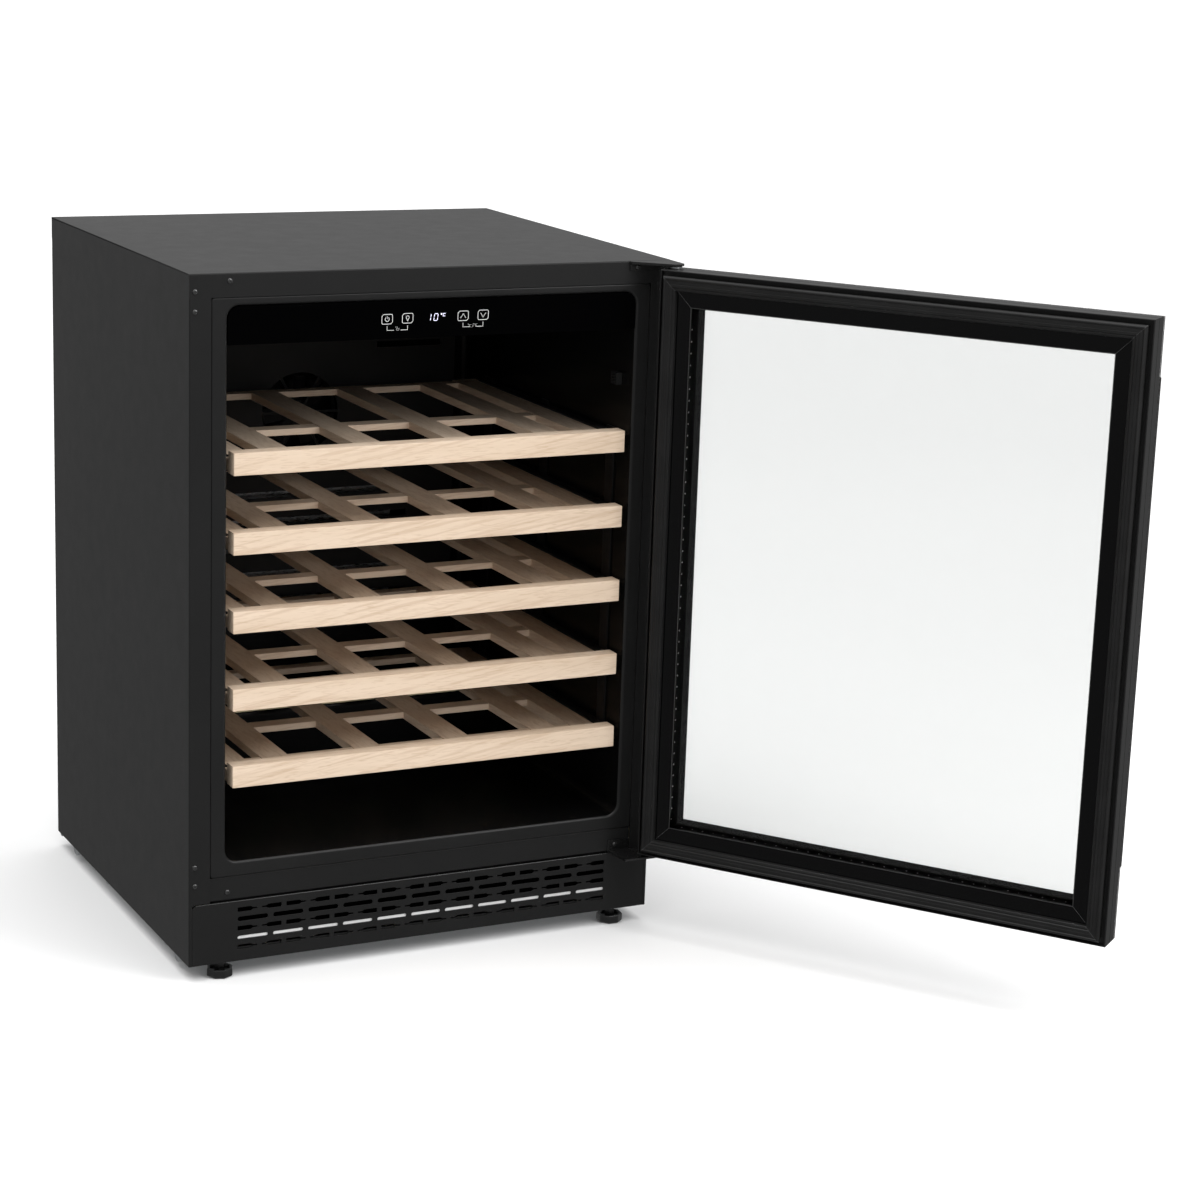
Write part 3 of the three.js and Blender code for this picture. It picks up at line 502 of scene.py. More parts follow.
def cabinet_sides():
    for side, name in ((-1, "left"), (1, "right")):
        sheet = Solid()
        sheet.prism(side_outline(side, STILE_INNER), "z", PLINTH + 0.3, RAIL_BOTTOM)
        sheet.prism(side_outline(side, SIDE - 4), "z", 0, PLINTH + 0.3)
        upper = [
            (SIDE - SHEET, FRONT + 1.6), (SIDE, FRONT + 1.6), (SIDE, REAR - 0.5),
            (SIDE - REAR_FLANGE, REAR), (SIDE - REAR_FLANGE, REAR - SHEET), (SIDE - SHEET, REAR - SHEET),
        ]
        sheet.prism([(side * x, y) for x, y in upper], "z", RAIL_BOTTOM, TOP - SHEET - 0.35)
        sheet.piece(f"cabinet_side_{name}", STEEL, "cabinet", [f"side_panel_{name}"])


def cabinet_top():
    sheet = Solid()
    outline = [(FRONT + SHEET, RAIL_BOTTOM), (FRONT, RAIL_BOTTOM)]
    outline += arc((FRONT + BEND, TOP - BEND), BEND, 180, 90, 5)
    outline += arc((REAR - BEND, TOP - BEND), BEND, 90, 0, 5)
    outline += [(REAR, TOP - SHEET), (FRONT + SHEET, TOP - SHEET)]
    sheet.prism(outline, "x", -SIDE, SIDE)
    sheet.block((-SIDE + 18, SIDE - 18), (REAR - SHEET, REAR), (TOP - 18, TOP - SHEET / 2))
    sheet.piece("cabinet_top", STEEL, "cabinet", ["top_panel"], bevel=0.25, segments=1)


def crossbar():
    """A channel, open at the back, with rounded folds."""
    low, high = box_mm("bottom_crossbar")
    fold = 1.5
    inner_y, inner_low, inner_high = low.y + fold, low.z + fold, high.z - fold
    outline = [(low.y, low.z + 1)] + arc((inner_y, inner_low), fold, 180, 270, 3)
    outline += [(high.y, low.z), (high.y, inner_low), (inner_y, inner_low)]
    outline += [(inner_y, inner_high), (high.y, inner_high), (high.y, high.z)]
    outline += arc((inner_y, inner_high), fold, 90, 180, 3)
    bar = Solid()
    bar.prism(outline, "x", low.x, high.x)
    bar.piece("lower_crossbar", STEEL, "cabinet", ["bottom_crossbar"])


def bottle_hole(x, z, facing):
    """A bottle on its side: round shoulders and a short neck with a lip."""
    upper = [(-12.3, 2.7), (-12, 3.0), (3.6, 3.0), (4.9, 2.7), (6.0, 1.8), (7, 1.3), (10.8, 1.15)]
    upper += [(11, 1.35), (12.3, 1.35)]
    points = upper + [(a, -b) for a, b in reversed(upper)]
    return [(x + facing * a, z + b) for a, b in points]


def hole_centres(count, margin):
    """Even steps across the punched width, the first and last a margin from its ends."""
    return [-PUNCHED_REACH + margin + i * 2 * (PUNCHED_REACH - margin) / (count - 1) for i in range(count)]


def kick_plate():
    """Three rows of bottles and two of slots, and the fold along the plate's upper edge."""
    low, high = box_mm("kick_grille")
    outline = [(low.x, low.z), (high.x, low.z)]
    edge, corner = high.z - 1.3, 5
    outline += arc((high.x - corner, edge - corner), corner, 0, 90, 6)
    outline += arc((low.x + corner, edge - corner), corner, 90, 180, 6)
    holes = []
    for z in (63, 40, 17):
        for i, x in enumerate(hole_centres(16, 12)):
            holes.append(bottle_hole(x, z, -1 if i % 2 else 1))
    for z, half in ((51.5, 3.1), (28.5, 2.4)):
        for x in hole_centres(11, 18.75):
            holes.append(rounded(x - 19, x + 19, z - half, z + half, half, 5))
    punched_plate(
        "kick_plate", outline, holes, (low.y, high.y), STEEL, "cabinet", ["kick_grille"], 0.3
    )

    y, z, bend = FRONT, high.z - 0.5, 0.8
    section = arc((y + bend, z - bend), bend, 180, 90, 4)
    section += [(y + 6, z), (y + 6, z - bend), (y + 1, z - bend)]
    fold = Solid()
    fold.prism(section, "x", low.x + 4.5, high.x - 4.5)
    fold.piece("kick_plate_fold", HINGE, "cabinet")


def intake_filter():
    """Dark foam pad with upright ribs in a thin rim, its near-black partly painted shade, and what shows through
    the two lowest rows: a pale strip of painted light behind the slots and a steel lip.
    """
    low, high = box_mm("intake_filter")
    back, rim, ribs, margin = low.y + 2.5, 1.5, 41, 4
    pad = Solid()
    pad.block((low.x, high.x), (back, high.y), (low.z, high.z))
    for z in (low.z, high.z - rim):
        pad.block((low.x, high.x), (low.y + 1.2, back), (z, z + rim))
    for i in range(ribs):
        x = low.x + margin + i * (high.x - low.x - 2 * margin) / (ribs - 1)
        pad.block((x - 1.5, x + 1.5), (low.y + 1.6, back), (low.z + rim, high.z - rim))
    pad.piece("intake_filter_pad", SHADED_FILTER_FOAM, "cabinet", ["intake_filter"])

    # A pale strip just behind the slots of the second row from the bottom: painted light, standing in for the
    # bright backdrop seen through them.
    rail = Solid()
    rail.block((low.x, high.x), (low.y - 0.15, low.y), (26.7, 30.1))
    rail.piece("pan_rail_painted_light", PAINTED_LIGHT_STRIP, "cabinet")

    lip = Solid()
    lip.block((low.x + 8, high.x - 8), (low.y + 0.1, low.y + 0.8), (9, 16.6))
    lip.piece("pan_front_lip", STEEL, "cabinet")


def flange_loop(inset, y):
    """Outline of the liner's flange, a little inside its CAD box."""
    x, low, high = liner_high.x - 0.3 - inset, liner_low.z + 0.5 + inset, liner_high.z - 0.3 - inset
    return lift(rounded(-x, x, low, high, 3), "y", y)


def opening_loop(grow, y):
    """Outline of the opening, grown or shrunk."""
    half, low, high, radius = OPENING["half"], OPENING["low"], OPENING["high"], OPENING["radius"]
    points = rounded(-half - grow, half + grow, low - grow, high + grow, radius + grow)
    return lift(points, "y", y)


def tub_without_step(tub, step_front, step_top):
    """The thick skin of the liner, left open where the raised floor at its back takes over."""
    bead, lip, back_radius, back_steps = 1.3, 4.0, 12, 6
    loops = [flange_loop(0, FRONT + 2.2)]
    loops += [flange_loop(a, FRONT + b) for a, b in arc((bead, bead), bead, 180, 270, 4)]
    loops += [opening_loop(lip - a, FRONT + lip - b) for a, b in arc((0, 0), lip, 90, 0, 6)]
    flange_faces = (len(loops) - 3) * len(loops[0])
    for step in range(back_steps + 1):
        angle = math.radians(90 * step / back_steps)
        shrink = back_radius * (1 - math.cos(angle))
        loops.append(opening_loop(-shrink, CAVITY_BACK - back_radius + back_radius * math.sin(angle)))
    faces = tub.skin(loops, caps=False)
    for face in faces[:flange_faces]:
        face.material_index = 1
    tub.bm.faces.new(tub.bm.verts[:][-len(loops[-1]):])
    bmesh.ops.recalc_face_normals(tub.bm, faces=tub.bm.faces)

    for point, normal in (((0, step_front, 0), (0, 1, 0)), ((0, 0, step_top), (0, 0, 1))):
        everything = tub.bm.verts[:] + tub.bm.edges[:] + tub.bm.faces[:]
        bmesh.ops.bisect_plane(tub.bm, geom=everything, plane_co=point, plane_no=normal)
    middles = ((face, face.calc_center_median()) for face in tub.bm.faces)
    below = [face for face, middle in middles if middle.y > step_front and middle.z < step_top]
    bmesh.ops.delete(tub.bm, geom=below, context="FACES")
    bmesh.ops.solidify(tub.bm, geom=tub.bm.faces[:], thickness=1.4)


def inner_liner():
    """Flange, rolled lip, straight walls with rounded corners and a raised floor at the back."""
    half, low = OPENING["half"], OPENING["low"]
    front, top, wall, bend = 60, 205, 1.6, 12
    tub = Solid()
    tub_without_step(tub, front + wall, top - wall)
    centre = (front + bend, top - bend)
    outline = [(front, low)] + arc(centre, bend, 180, 90, 6)
    outline += [(CAVITY_BACK - 0.3, top), (CAVITY_BACK - 0.3, top - wall)]
    outline += arc(centre, bend - wall, 90, 180, 6) + [(front + wall, low)]
    tub.prism(outline, "x", -half + 0.2, half - 0.2)
    tub.piece("inner_liner", [LINER_SHADED, FLANGE], "cabinet", ["liner"])


def flange_seal():
    """Dark strip that closes the gap between the liner's flange and the sheets in front of it."""
    reach, foot, head = STILE_INNER + 4, liner_low.z - 0.1, RAIL_BOTTOM + 4
    strip = (FRONT + SHEET + 0.15, FRONT + 2.1)
    seal = Solid()
    for side in (-1, 1):
        xs = sorted((side * reach, side * (STILE_INNER - 5)))
        seal.block(xs, strip, (foot, head))
    seal.block((-reach, reach), strip, (head - 9, head))
    seal.block((-reach, reach), strip, (foot, foot + 5))
    seal.piece("flange_seal", RUBBER, "cabinet")


def domed_screw(solid, x, y, z, facing=-1, radius=3.1):
    """Pan-head screw with a sunk drive, on a face that looks to the front (-1) or to the rear (1)."""
    dome = [(1, -0.4), (1, 0.3), (0.97, 0.65), (0.85, 1.1), (0.6, 1.4), (0.3, 1.5), (0.24, 0.9), (0, 0.8)]
    profile = [(radius * share, height * facing) for share, height in dome]
    solid.turned(profile, (x, y, z), "y", 20)


def front_screws():
    """Screws in the spare hinge holes on the left, and those that hold the two hinges on the right."""
    heads = Solid()
    spare = [(-250.8, 797.2), (-290.9, 786.1), (-290.9, 763.8), (-290.3, 120.7), (-290.3, 98.1)]
    for x, z in spare:
        domed_screw(heads, x, FRONT, z)
    domed_screw(heads, -250.3, FRONT + 2, 85.6)
    domed_screw(heads, 252.8, FRONT - 2, 798.6, radius=2.8)
    domed_screw(heads, 251.5, FRONT, 84.5, radius=2.8)
    heads.piece("front_screws", SCREW, "cabinet")


def rear_fittings():
    """Screws of the back, and the strip between its panel and its cover."""
    column = 272
    heads = Solid()
    for x in (-column, -column / 2, 0, column / 2, column):
        domed_screw(heads, x, REAR, 792, 1)
    for z in (40, 130, 218):
        for x in (-column, column):
            domed_screw(heads, x, REAR, z, 1)
    heads.piece("rear_screws", ZINC, "cabinet")

    strip = Solid()
    strip.block((-279, 279), (REAR - 2.6, REAR - 1.4), (232.2, 234.8))
    strip.piece("rear_joint_strip", ZINC, "cabinet")


def levelling_feet():
    """Eight-sided dished pads on threaded studs, each with a hexagonal collar."""
    for name in FEET:
        low, high = box_mm(name)
        centre = ((low.x + high.x) / 2, (low.y + high.y) / 2, 0)
        bottom, top = low.z, low.z + 10.5
        pad = [
            (0, bottom), (13.5, bottom), (15.6, bottom + 1.4), (16, bottom + 2.2), (16, top - 1.2),
            (15.2, top), (12.6, top), (11.8, top - 1), (11.2, top - 3.2), (0, top - 3.4),
        ]
        collar = [(0, top - 3.5), (6.5, top - 3.5), (6.5, 0.5), (0, 0.5)]
        thread = [(0, 0)]
        for turn in range(16):
            height = THREAD_PITCH * turn
            thread += [(3.5, 0.2 + height), (4.0, 1.0 + height)]
        thread.append((0, high.z))
        foot = Solid()
        foot.turned(pad, centre, "z", 8, phase=18 if "right" in name else 3)
        foot.turned(collar, centre, "z", 6)
        foot.turned(thread, centre, "z", 16)
        foot.piece(f"{name}_levelling", FOOT, name, [name])


# ---- Controls ----


def control_strip():
    """Gloss plate across the top of the opening, its upper corners rounded with it."""
    low, high = box_mm("control_panel")
    radius = OPENING["radius"]
    outline = [(low.x, low.z), (high.x, low.z)]
    outline += arc((high.x - radius, high.z - radius), radius, 0, 90, 8)
    outline += arc((low.x + radius, high.z - radius), radius, 90, 180, 8)
    strip = Solid()
    strip.prism(outline, "y", low.y, high.y)
    strip.piece("control_strip", GLOSS, "cabinet", ["control_panel"], bevel=0.5)


def stroke_piece(name, strokes, look, radius):
    """Printed lines on the control strip, each a list of (x, z) points and whether it closes."""
    lines = [([(x, FRONT + 0.12, z) for x, z in points], closed) for points, closed in strokes]
    mesh = curve_mesh(lines, False, bevel=radius)
    mesh.transform(Matrix.Scale(MM, 4))
    finish_piece(name, mesh, look, "cabinet", sharp=80)


def key_outline(x, z):
    """A frame with two corners cut and two rounded."""
    half, tall, cut, radius = 6.5, 5.5, 2.2, 1.5
    left, right, low, high = x - half, x + half, z - tall, z + tall
    points = [(left + cut, high)] + arc((right - radius, high - radius), radius, 90, 0, 3)
    points += [(right, low + cut), (right - cut, low)]
    points += arc((left + radius, low + radius), radius, 270, 180, 3) + [(left, high - cut)]
    return points


POWER, LIGHT, UP, DOWN = (-63.2, 748), (-38.1, 748.3), (30.7, 748.7), (55.8, 749)


def control_icons():
    """Two pairs of touch keys, each pair linked below by a bracket."""
    strokes = [(key_outline(*at), True) for at in (POWER, LIGHT, UP, DOWN)]
    x, z = POWER
    strokes.append((arc(POWER, 2.5, 125, 415, 16), False))
    strokes.append(([(x, z + 0.4), (x, z + 3.4)], False))
    x, z = LIGHT
    bulb = arc((x, z + 0.9), 1.9, -50, 230, 14)
    strokes.append((bulb + [(x - 0.8, z - 1.9), (x + 0.8, z - 1.9)], True))
    strokes.append(([(x - 0.7, z - 2.9), (x + 0.7, z - 2.9)], False))
    for (x, z), tip in ((UP, 1), (DOWN, -1)):
        strokes.append(([(x - 3.2, z - 2.4 * tip), (x, z + 2.8 * tip), (x + 3.2, z - 2.4 * tip)], False))
    drop, arm = 8, 8.4
    for left, right in ((POWER, LIGHT), (UP, DOWN)):
        low = left[1] - 12.8
        strokes.append(([(left[0], left[1] - drop), (left[0], low), (left[0] + arm, low)], False))
        strokes.append(([(right[0] - arm, low), (right[0], low), (right[0], right[1] - drop)], False))
    stroke_piece("key_icons", strokes, GLOWING_PRINT, 0.24)


def key_marks():
    """Small marks in the brackets: a padlock on the left, a choice of two degree signs on the right."""
    middle, z = (UP[0] + DOWN[0]) / 2, 737.0
    strokes = []
    for offset, arms in ((-3.4, False), (3.6, True)):
        x = middle + offset
        strokes.append((arc((x - 2.1, z + 1.6), 0.4, 0, 360, 8)[:-1], True))
        if arms:
            strokes.append(([(x + 1.5, z + 1.7), (x - 0.5, z + 1.7), (x - 0.5, z - 1.7)], False))
            strokes.append(([(x - 0.5, z + 0.1), (x + 1.1, z + 0.1)], False))
        else:
            strokes.append((arc((x + 0.4, z), 1.5, 55, 305, 10), False))
    strokes.append(([(middle - 0.7, z - 2), (middle + 0.7, z + 2)], False))
    x, z = (POWER[0] + LIGHT[0]) / 2 + 0.4, 736.6
    strokes.append((rounded(x - 1.4, x + 1.6, z - 1.6, z + 0.6, 0.3, 2), True))
    strokes.append((arc((x - 1.4, z + 1.3), 1.1, 0, 180, 8), False))
    stroke_piece("key_marks", strokes, GLOWING_PRINT, 0.16)


def display_digits():
    """Slanted seven-segment number and a degree sign."""
    lean, half, width, z = 0.16, 3.9, 4.4, 748.4
    gap, short, long = 0.5, half - 0.4, half - 0.3

    def slanted(points, x, z):
        return [(x + a + lean * b, z + b) for a, b in points]

    one = [[(0, gap), (0, long)], [(0, -gap), (0, -long)]]
    zero = [[(gap, half), (width - gap, half)], [(gap, -half), (width - gap, -half)]]
    for x in (0, width):
        zero += [[(x, gap), (x, short)], [(x, -gap), (x, -short)]]
    strokes = [(slanted(line, -9.6, z), False) for line in one]
    strokes += [(slanted(line, -5.4, z), False) for line in zero]
    strokes.append((arc((3.7, z + 3.4), 0.7, 0, 360, 10)[:-1], True))
    cee = [(2.6, 1.5), (0, 1.5), (0, -1.5), (2.6, -1.5)]
    strokes.append((slanted(cee, 5.8, z + 2.4), False))
    stroke_piece("display_digits", strokes, DIGIT, 0.36)


# ---- Shelves ----


def wooden_shelf(index):
    """Front board and the frame of rails and slats behind it, edges eased."""
    body = f"shelf_{index}"
    low, high = box_mm(f"{body}_board")
    board = Solid()
    board.block((low.x, high.x), (low.y, high.y), (low.z, high.z))
    board.piece(f"{body}_front", BEECH_X, body, [f"{body}_board"], bevel=0.8)

    lengthwise, rail, slat, pitch = 1, 34, 34, 116
    low, high = box_mm(f"{body}_frame")
    timber = Solid()
    for side in (-1, 1):
        xs = sorted((side * high.x, side * (high.x - rail)))
        timber.block(xs, (low.y, high.y), (low.z, high.z), lengthwise)
    for y, depth in ((low.y + 2, 38), (-90, 22), (high.y - 20, 18)):
        timber.block((low.x + rail / 2, high.x - rail / 2), (y, y + depth), (high.z - 9, high.z - 1))
    for i in range(4):
        x = (i - 1.5) * pitch
        ys, zs = (low.y + 8, high.y - 9), (high.z - 10, high.z)
        timber.block((x - slat / 2, x + slat / 2), ys, zs, lengthwise)
    timber.piece(f"{body}_timber", [BEECH_X, BEECH_Y], body, [f"{body}_frame"], bevel=0.9)


# ---- Door, drawn closed about its pin and then turned open ----

DOOR_PLACE = Matrix.Translation((PIN.x, PIN.y, 0)) @ Matrix.Rotation(DOOR_OPEN, 4, "Z")


def door_point(across, depth, z):
    """Across runs from the hinge edge, depth from the inner face outwards."""
    return Vector((PIN_ACROSS - across, PIN_DEPTH - depth, z))


def door_corner(corner, inset, depth):
    """Corners are numbered round the door from the lower one at the hinge."""
    across = inset if corner in (0, 3) else DOOR_WIDTH - inset
    z = DOOR_BOTTOM + inset if corner in (0, 1) else DOOR_TOP - inset
    return door_point(across, depth, z)


def door_ring(solid, profile):
    """Sweeps a closed (inset, depth) section round the door with mitred corners."""
    loops = [[door_corner(c, inset, depth) for c in range(4)] for inset, depth in profile]
    solid.skin(loops, wrap=True)


def door_bars(solid, profile, gap):
    """The same sweep as four separate bars, so that each mitre shows as a fine joint."""
    for c in range(4):
        ends = []
        for corner, other in ((c, (c + 1) % 4), ((c + 1) % 4, c)):
            along = (door_corner(other, 0, 0) - door_corner(corner, 0, 0)).normalized() * gap
            ends.append([door_corner(corner, inset, depth) + along for inset, depth in profile])
        solid.skin(ends)


def mitre_slivers(solid, path, half_width):
    """Thin strips along the four mitres, following a path of (inset, depth) points."""
    for c in range(4):
        corner = door_corner(c, 0, 0)
        inward = door_corner(c, 1, 0) - corner
        side = Vector((inward.z, 0, -inward.x)).normalized() * half_width
        under = Vector((0, 0.4, 0))
        for (i0, d0), (i1, d1) in zip(path, path[1:]):
            a, b = door_corner(c, i0, d0), door_corner(c, i1, d1)
            ends = [[p - side, p + side, p + side - under, p - side - under] for p in (a, b)]
            solid.skin(ends)


def door_frame_bars():
    """Flat sides with one fine groove, and a deep channel beside the gasket's groove."""
    section = [
        (0.5, 0), (1.3, 0), (1.6, 0.3), (1.6, 5), (7.5, 5), (7.5, 0), (10.5, 0), (10.5, 4.4), (14.5, 4.4),
        (14.5, 0), (20, 0), (20, 12.4), (31.7, 12.4), (31.7, 32.7), (0, 32.7), (0, 16.4), (0.5, 16.2),
        (0.5, 15.6), (0, 15.4), (0, 0.5),
    ]
    bars = Solid()
    door_bars(bars, section, 0.06)
    bars.piece(
        "door_profile", STEEL, "door", ["door_frame"], bevel=0.15, place=DOOR_PLACE
    )


def door_window():
    """Gloss trim with its fine joints, the spacer between the panes, the printed border and the panes."""
    trim = Solid()
    door_bars(trim, [(20.4, 0), (42, 0), (42, 0.8), (38, 1.2), (38, 7.6), (20.4, 7.6)], 0.08)
    trim.piece(
        "window_trim", TRIM, "door", ["door_inner_trim"], bevel=0.2, place=DOOR_PLACE
    )

    # Pale strips along the trim's inner edge and its mitres: painted highlights where the bevels catch the light.
    lines = Solid()
    door_ring(lines, [(41.1, -0.05), (41.45, -0.05), (41.45, 0.4), (41.1, 0.4)])
    mitre_slivers(lines, [(23.6, -0.05), (41.0, -0.05)], 0.16)
    lines.piece("trim_edge_highlights", SEAM_HIGHLIGHT, "door", place=DOOR_PLACE)

    spacer = Solid()
    door_bars(spacer, [(32.3, 12.3), (37, 12.3), (37, 32.6), (32.3, 32.6)], 0.05)
    spacer.piece("pane_spacer", SPACER, "door", ["glass_spacer"], bevel=0.3, place=DOOR_PLACE)

    printed = Solid()
    door_ring(printed, [(0.4, 32.78), (45.2, 32.78), (45.2, 32.95), (0.4, 32.95)])
    printed.piece("glass_border", GLOSS, "door", place=DOOR_PLACE)

    for name, node, inset, depths in (
        ("inner_pane", "door_glass_inner", 22, (8, 12)),
        ("outer_pane", "door_glass_outer", 0, (33, DOOR_THICK)),
    ):
        pane = Solid()
        loops = [[door_corner(c, inset, depth) for c in range(4)] for depth in depths]
        pane.skin(loops)
        pane.piece(name, GLASS, "door", [node], bevel=0.5, place=DOOR_PLACE)


def spacer_holes():
    """Breather holes along the sides and the lower bar of the spacer, seen through the inner pane."""
    inset, pitch, start, margins = 37.15, 14.0, 48, 90
    side_depth, low_depth = 15.5, 24
    rim = [(0.9, 0.25), (0.9, 0), (0.5, 0), (0.45, 0.2)]

    def along(length):
        return [start + i * pitch for i in range(int((length - margins) / pitch))]

    dots = Solid()
    for height in along(DOOR_TOP - DOOR_BOTTOM):
        for across, facing in ((inset, -1), (DOOR_WIDTH - inset, 1)):
            centre = door_point(across, side_depth, DOOR_BOTTOM + height)
            dots.turned([(radius, proud * facing) for radius, proud in rim], centre, "x", 10)
    for across in along(DOOR_WIDTH):
        centre = door_point(across, low_depth, DOOR_BOTTOM + inset)
        dots.turned([(radius, -proud) for radius, proud in rim], centre, "z", 10)
    dots.piece("spacer_dots", ALUMINIUM, "door", place=DOOR_PLACE)


def door_seal():
    """Magnetic gasket: a crown near its outer edge, a broad face and two fine ribs towards the window."""
    section = [
        (6.8, -0.3), (6.3, -1.6), (6.1, -3.6), (6.5, -5), (7.4, -6.7), (8.4, -7.6), (9.2, -7.8),
        (9.9, -7.5), (10.4, -6.8), (10.9, -6.6), (11.4, -6.8), (12.6, -7.1), (14.4, -7.1), (14.8, -6.8),
        (15.2, -7.1), (18.0, -6.9), (18.6, -6.4), (18.9, -5.7), (19.4, -5.5), (19.9, -5.9), (20.4, -6),
        (20.9, -5.6), (21.4, -5.4), (22.0, -5.3), (22.7, -4.4), (23.1, -3), (23.4, -0.3), (14.0, -0.3),
        (14.0, 4), (11.0, 4), (11.0, -0.3),
    ]
    seal = Solid()
    door_ring(seal, section)
    seal.piece("magnetic_gasket", RUBBER, "door", ["door_gasket"], place=DOOR_PLACE)

    # Pale strips on the gasket's four corner welds: the seams are real, their pale tone a painted highlight.
    welds = Solid()
    mitre_slivers(welds, [(inset, depth - 0.08) for inset, depth in section[3:-5]], 0.16)
    welds.piece("gasket_weld_highlights", SEAM_HIGHLIGHT, "door", place=DOOR_PLACE)


def pull_strip():
    """Strip along the opening edge of the door's outer face."""
    edge, width, face, proud, slope = DOOR_WIDTH, 22, DOOR_THICK + 0.3, 4, 4
    section = [
        door_point(edge, face, 0), door_point(edge, face + proud, 0),
        door_point(edge - width + slope, face + proud, 0), door_point(edge - width, face, 0),
    ]
    low, high = box_mm("door_handle")
    strip = Solid()
    strip.skin([[p + Vector((0, 0, z)) for p in section] for z in (low.z, high.z)])
    strip.piece(
        "pull_strip", STEEL, "door", ["door_handle"], bevel=0.9, place=DOOR_PLACE, segments=3
    )


# ---- Hinges ----


def hinges():
    """Two plates that reach forward of the cabinet, a pin in each, and the rivets of the upper one."""
    reach, leaf = FRONT - 0.3, 271.4
    top = [
        (243, reach - 5), (243, reach), (SIDE, reach), (SIDE, PIN.y - 4), (292, PIN.y - 9), (282, PIN.y - 9),
    ]
    plate = Solid()
    plate.prism(top, "z", TOP - 3, TOP)
    plate.block((243, SIDE), (reach - 1.7, reach), (795, TOP - 2.9))
    plate.piece("upper_hinge_leaf", STEEL, "cabinet", ["hinge_top_plate"], bevel=0.45)

    low, high = box_mm("hinge_bottom_bracket")
    bottom = [
        (242, FRONT + 1.7), (246, PIN.y - 11), (290, PIN.y - 11), (SIDE, PIN.y - 4), (SIDE, reach),
        (leaf, reach), (leaf, FRONT + 1.7),
    ]
    bracket = Solid()
    bracket.prism(bottom, "z", low.z, low.z + 2.7)
    bracket.block((242, leaf), (FRONT, FRONT + 1.7), (low.z, high.z))
    bracket.piece(
        "lower_hinge_bracket", HINGE, "cabinet", ["hinge_bottom_bracket"], bevel=0.45
    )

    lower_pin_foot = box_mm("hinge_pin_bottom")[0].z
    hinge_pin("upper_hinge_pin", "hinge_pin_top", DOOR_TOP + 0.4, TOP - 3.4)
    hinge_pin("lower_hinge_pin", "hinge_pin_bottom", lower_pin_foot + 3.1, DOOR_BOTTOM - 0.4)

    base = TOP - 3
    rivets = Solid()
    for x, y in ((263, FRONT - 6), (276, FRONT - 12)):
        rivets.turned([(0, base - 1.4), (2.6, base - 1.4), (3, base - 0.8), (3, base)], (x, y, 0), "z", 18)
    rivets.piece("upper_hinge_rivets", SCREW, "cabinet")


def hinge_pin(name, node, collar_low, collar_high):
    """A turned pin with a collar between the door and the hinge plate."""
    low, high = box_mm(node)
    shank, collar, ease = 4, 7.5, 0.5
    profile = [
        (0, low.z), (shank - ease, low.z), (shank, low.z + ease),
        (shank, collar_low), (collar - ease, collar_low), (collar, collar_low + 0.4),
        (collar, collar_high - 0.4), (collar - ease, collar_high), (shank, collar_high),
        (shank, high.z - ease), (shank - ease, high.z), (0, high.z),
    ]
    pin = Solid()
    pin.turned(profile, (PIN.x, PIN.y, 0), "z", 28)
    pin.piece(name, ZINC, "cabinet", [node])


# ---- Studio ----


def studio():
    """A plain pale floor at the foot of the cooler, one wide soft light from above and one from the front."""
    bpy.ops.mesh.primitive_plane_add(size=160, location=(0, 0, box_mm("foot_front_left")[0].z * MM))
    floor = bpy.context.object
    floor.name = "studio_floor"
    look = Look("studio_floor", (0.86, 0.86, 0.86), 0.8, specular=0.1)
    look.paint(look.ramp(look.noise(0.5, 2), (0.3, (0.85, 0.85, 0.85)), (0.7, (0.87, 0.87, 0.87))))
    floor.data.materials.append(look.material)
    floor.visible_glossy = False

    studio_world()
    sun = add_light("top_sun", "SUN", 2.0, aim=(0.1, 0.15, -1.0))
    sun.angle = math.radians(60)
    softbox = add_light("front_softbox", "AREA", 40, (1.57, -2.28, 2.07), (-1.57, 2.0, -1.32))
    softbox.shape = "DISK"
    softbox.size = 1.6


def add_light(name, kind, energy, place=(0, 0, 0), aim=(0, 0, -1)):
    light = bpy.data.lights.new(name, kind)
    light.energy = energy
    obj = bpy.data.objects.new(name, light)
    obj.location = place
    obj.rotation_euler = Vector(aim).to_track_quat("-Z", "Y").to_euler()
    bpy.context.scene.collection.objects.link(obj)
    return light


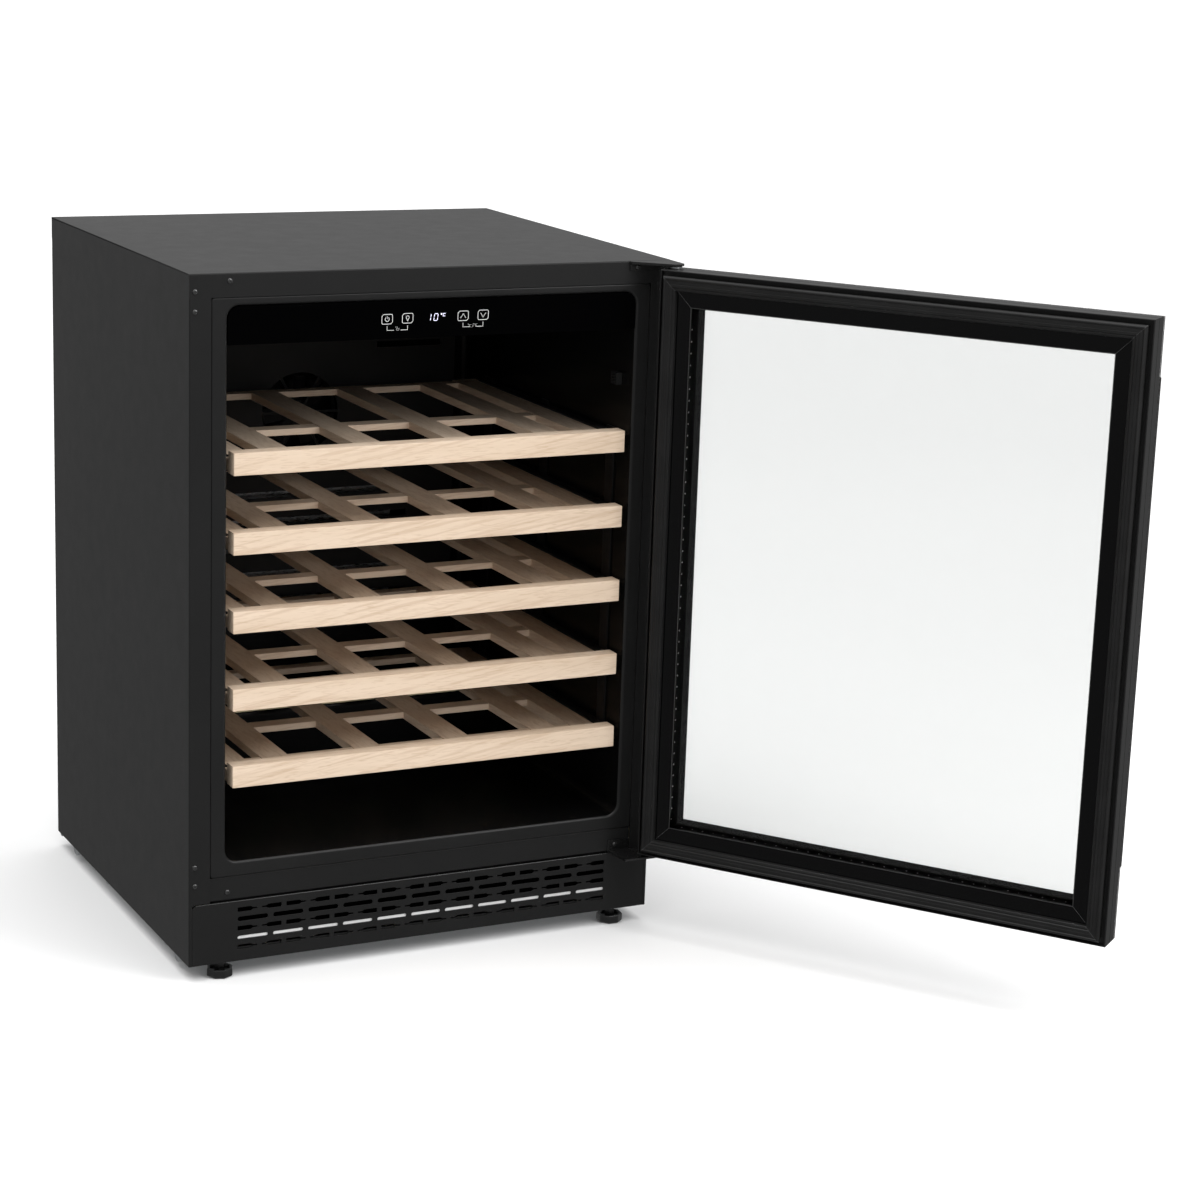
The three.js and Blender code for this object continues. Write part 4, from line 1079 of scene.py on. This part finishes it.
def studio_world():
    """Soft light that is strongest from above, in front of a plain white backdrop."""
    world = bpy.data.worlds.new("studio")
    bpy.context.scene.world = world
    world.use_nodes = True
    nodes, links = world.node_tree.nodes, world.node_tree.links
    room = nodes["Background"]
    backdrop = nodes.new("ShaderNodeBackground")
    backdrop.inputs["Color"].default_value = (1, 1, 1, 1)
    room.inputs["Color"].default_value = (1, 1, 1, 1)
    place = nodes.new("ShaderNodeTexCoord")
    split = nodes.new("ShaderNodeSeparateXYZ")
    height = nodes.new("ShaderNodeMapRange")
    for socket, value in (("From Min", -0.2), ("From Max", 0.9), ("To Min", 0.27), ("To Max", 0.97)):
        height.inputs[socket].default_value = value
    links.new(place.outputs["Generated"], split.inputs["Vector"])
    links.new(split.outputs["Z"], height.inputs["Value"])
    links.new(height.outputs["Result"], room.inputs["Strength"])
    path = nodes.new("ShaderNodeLightPath")
    straight = nodes.new("ShaderNodeMath")
    straight.operation = "MAXIMUM"
    links.new(path.outputs["Is Camera Ray"], straight.inputs[0])
    links.new(path.outputs["Is Transmission Ray"], straight.inputs[1])
    mix = nodes.new("ShaderNodeMixShader")
    links.new(straight.outputs["Value"], mix.inputs["Fac"])
    links.new(room.outputs["Background"], mix.inputs[1])
    links.new(backdrop.outputs["Background"], mix.inputs[2])
    links.new(mix.outputs["Shader"], nodes["World Output"].inputs["Surface"])


def camera():
    """The photograph's viewpoint: in front, to the left and a little above."""
    azimuth, elevation, roll = (math.radians(a) for a in (26.94, 13.96, 2.04))
    level = math.cos(elevation)
    look = Vector((level * math.sin(azimuth), level * math.cos(azimuth), -math.sin(elevation)))
    right = Vector((math.cos(azimuth), -math.sin(azimuth), 0))
    up = right.cross(look)
    right_rolled = math.cos(roll) * right + math.sin(roll) * up
    up_rolled = math.cos(roll) * up - math.sin(roll) * right
    place = Vector((-1328.8, -3312.5, 1247.3)) * MM
    data = bpy.data.cameras.new("camera")
    data.lens = 87.8
    data.sensor_width = 36
    data.clip_end = 200
    obj = bpy.data.objects.new("camera", data)
    turn = Matrix((right_rolled, up_rolled, -look)).transposed().to_4x4()
    obj.matrix_world = Matrix.Translation(place) @ turn
    bpy.context.scene.collection.objects.link(obj)
    bpy.context.scene.camera = obj


# ---- Assembly ----

camera()
studio()
dress_cad_nodes()
cabinet_sides()
cabinet_top()
crossbar()
kick_plate()
intake_filter()
inner_liner()
flange_seal()
front_screws()
rear_fittings()
levelling_feet()
control_strip()
control_icons()
key_marks()
display_digits()
for number in SHELVES:
    wooden_shelf(number)
door_frame_bars()
door_window()
spacer_holes()
door_seal()
pull_strip()
hinges()

scene = bpy.context.scene
scene.view_settings.view_transform = "Standard"
scene.view_settings.look = "None"
scene.cycles.use_denoising = True
scene.cycles.max_bounces = 10
scene.cycles.transmission_bounces = 8
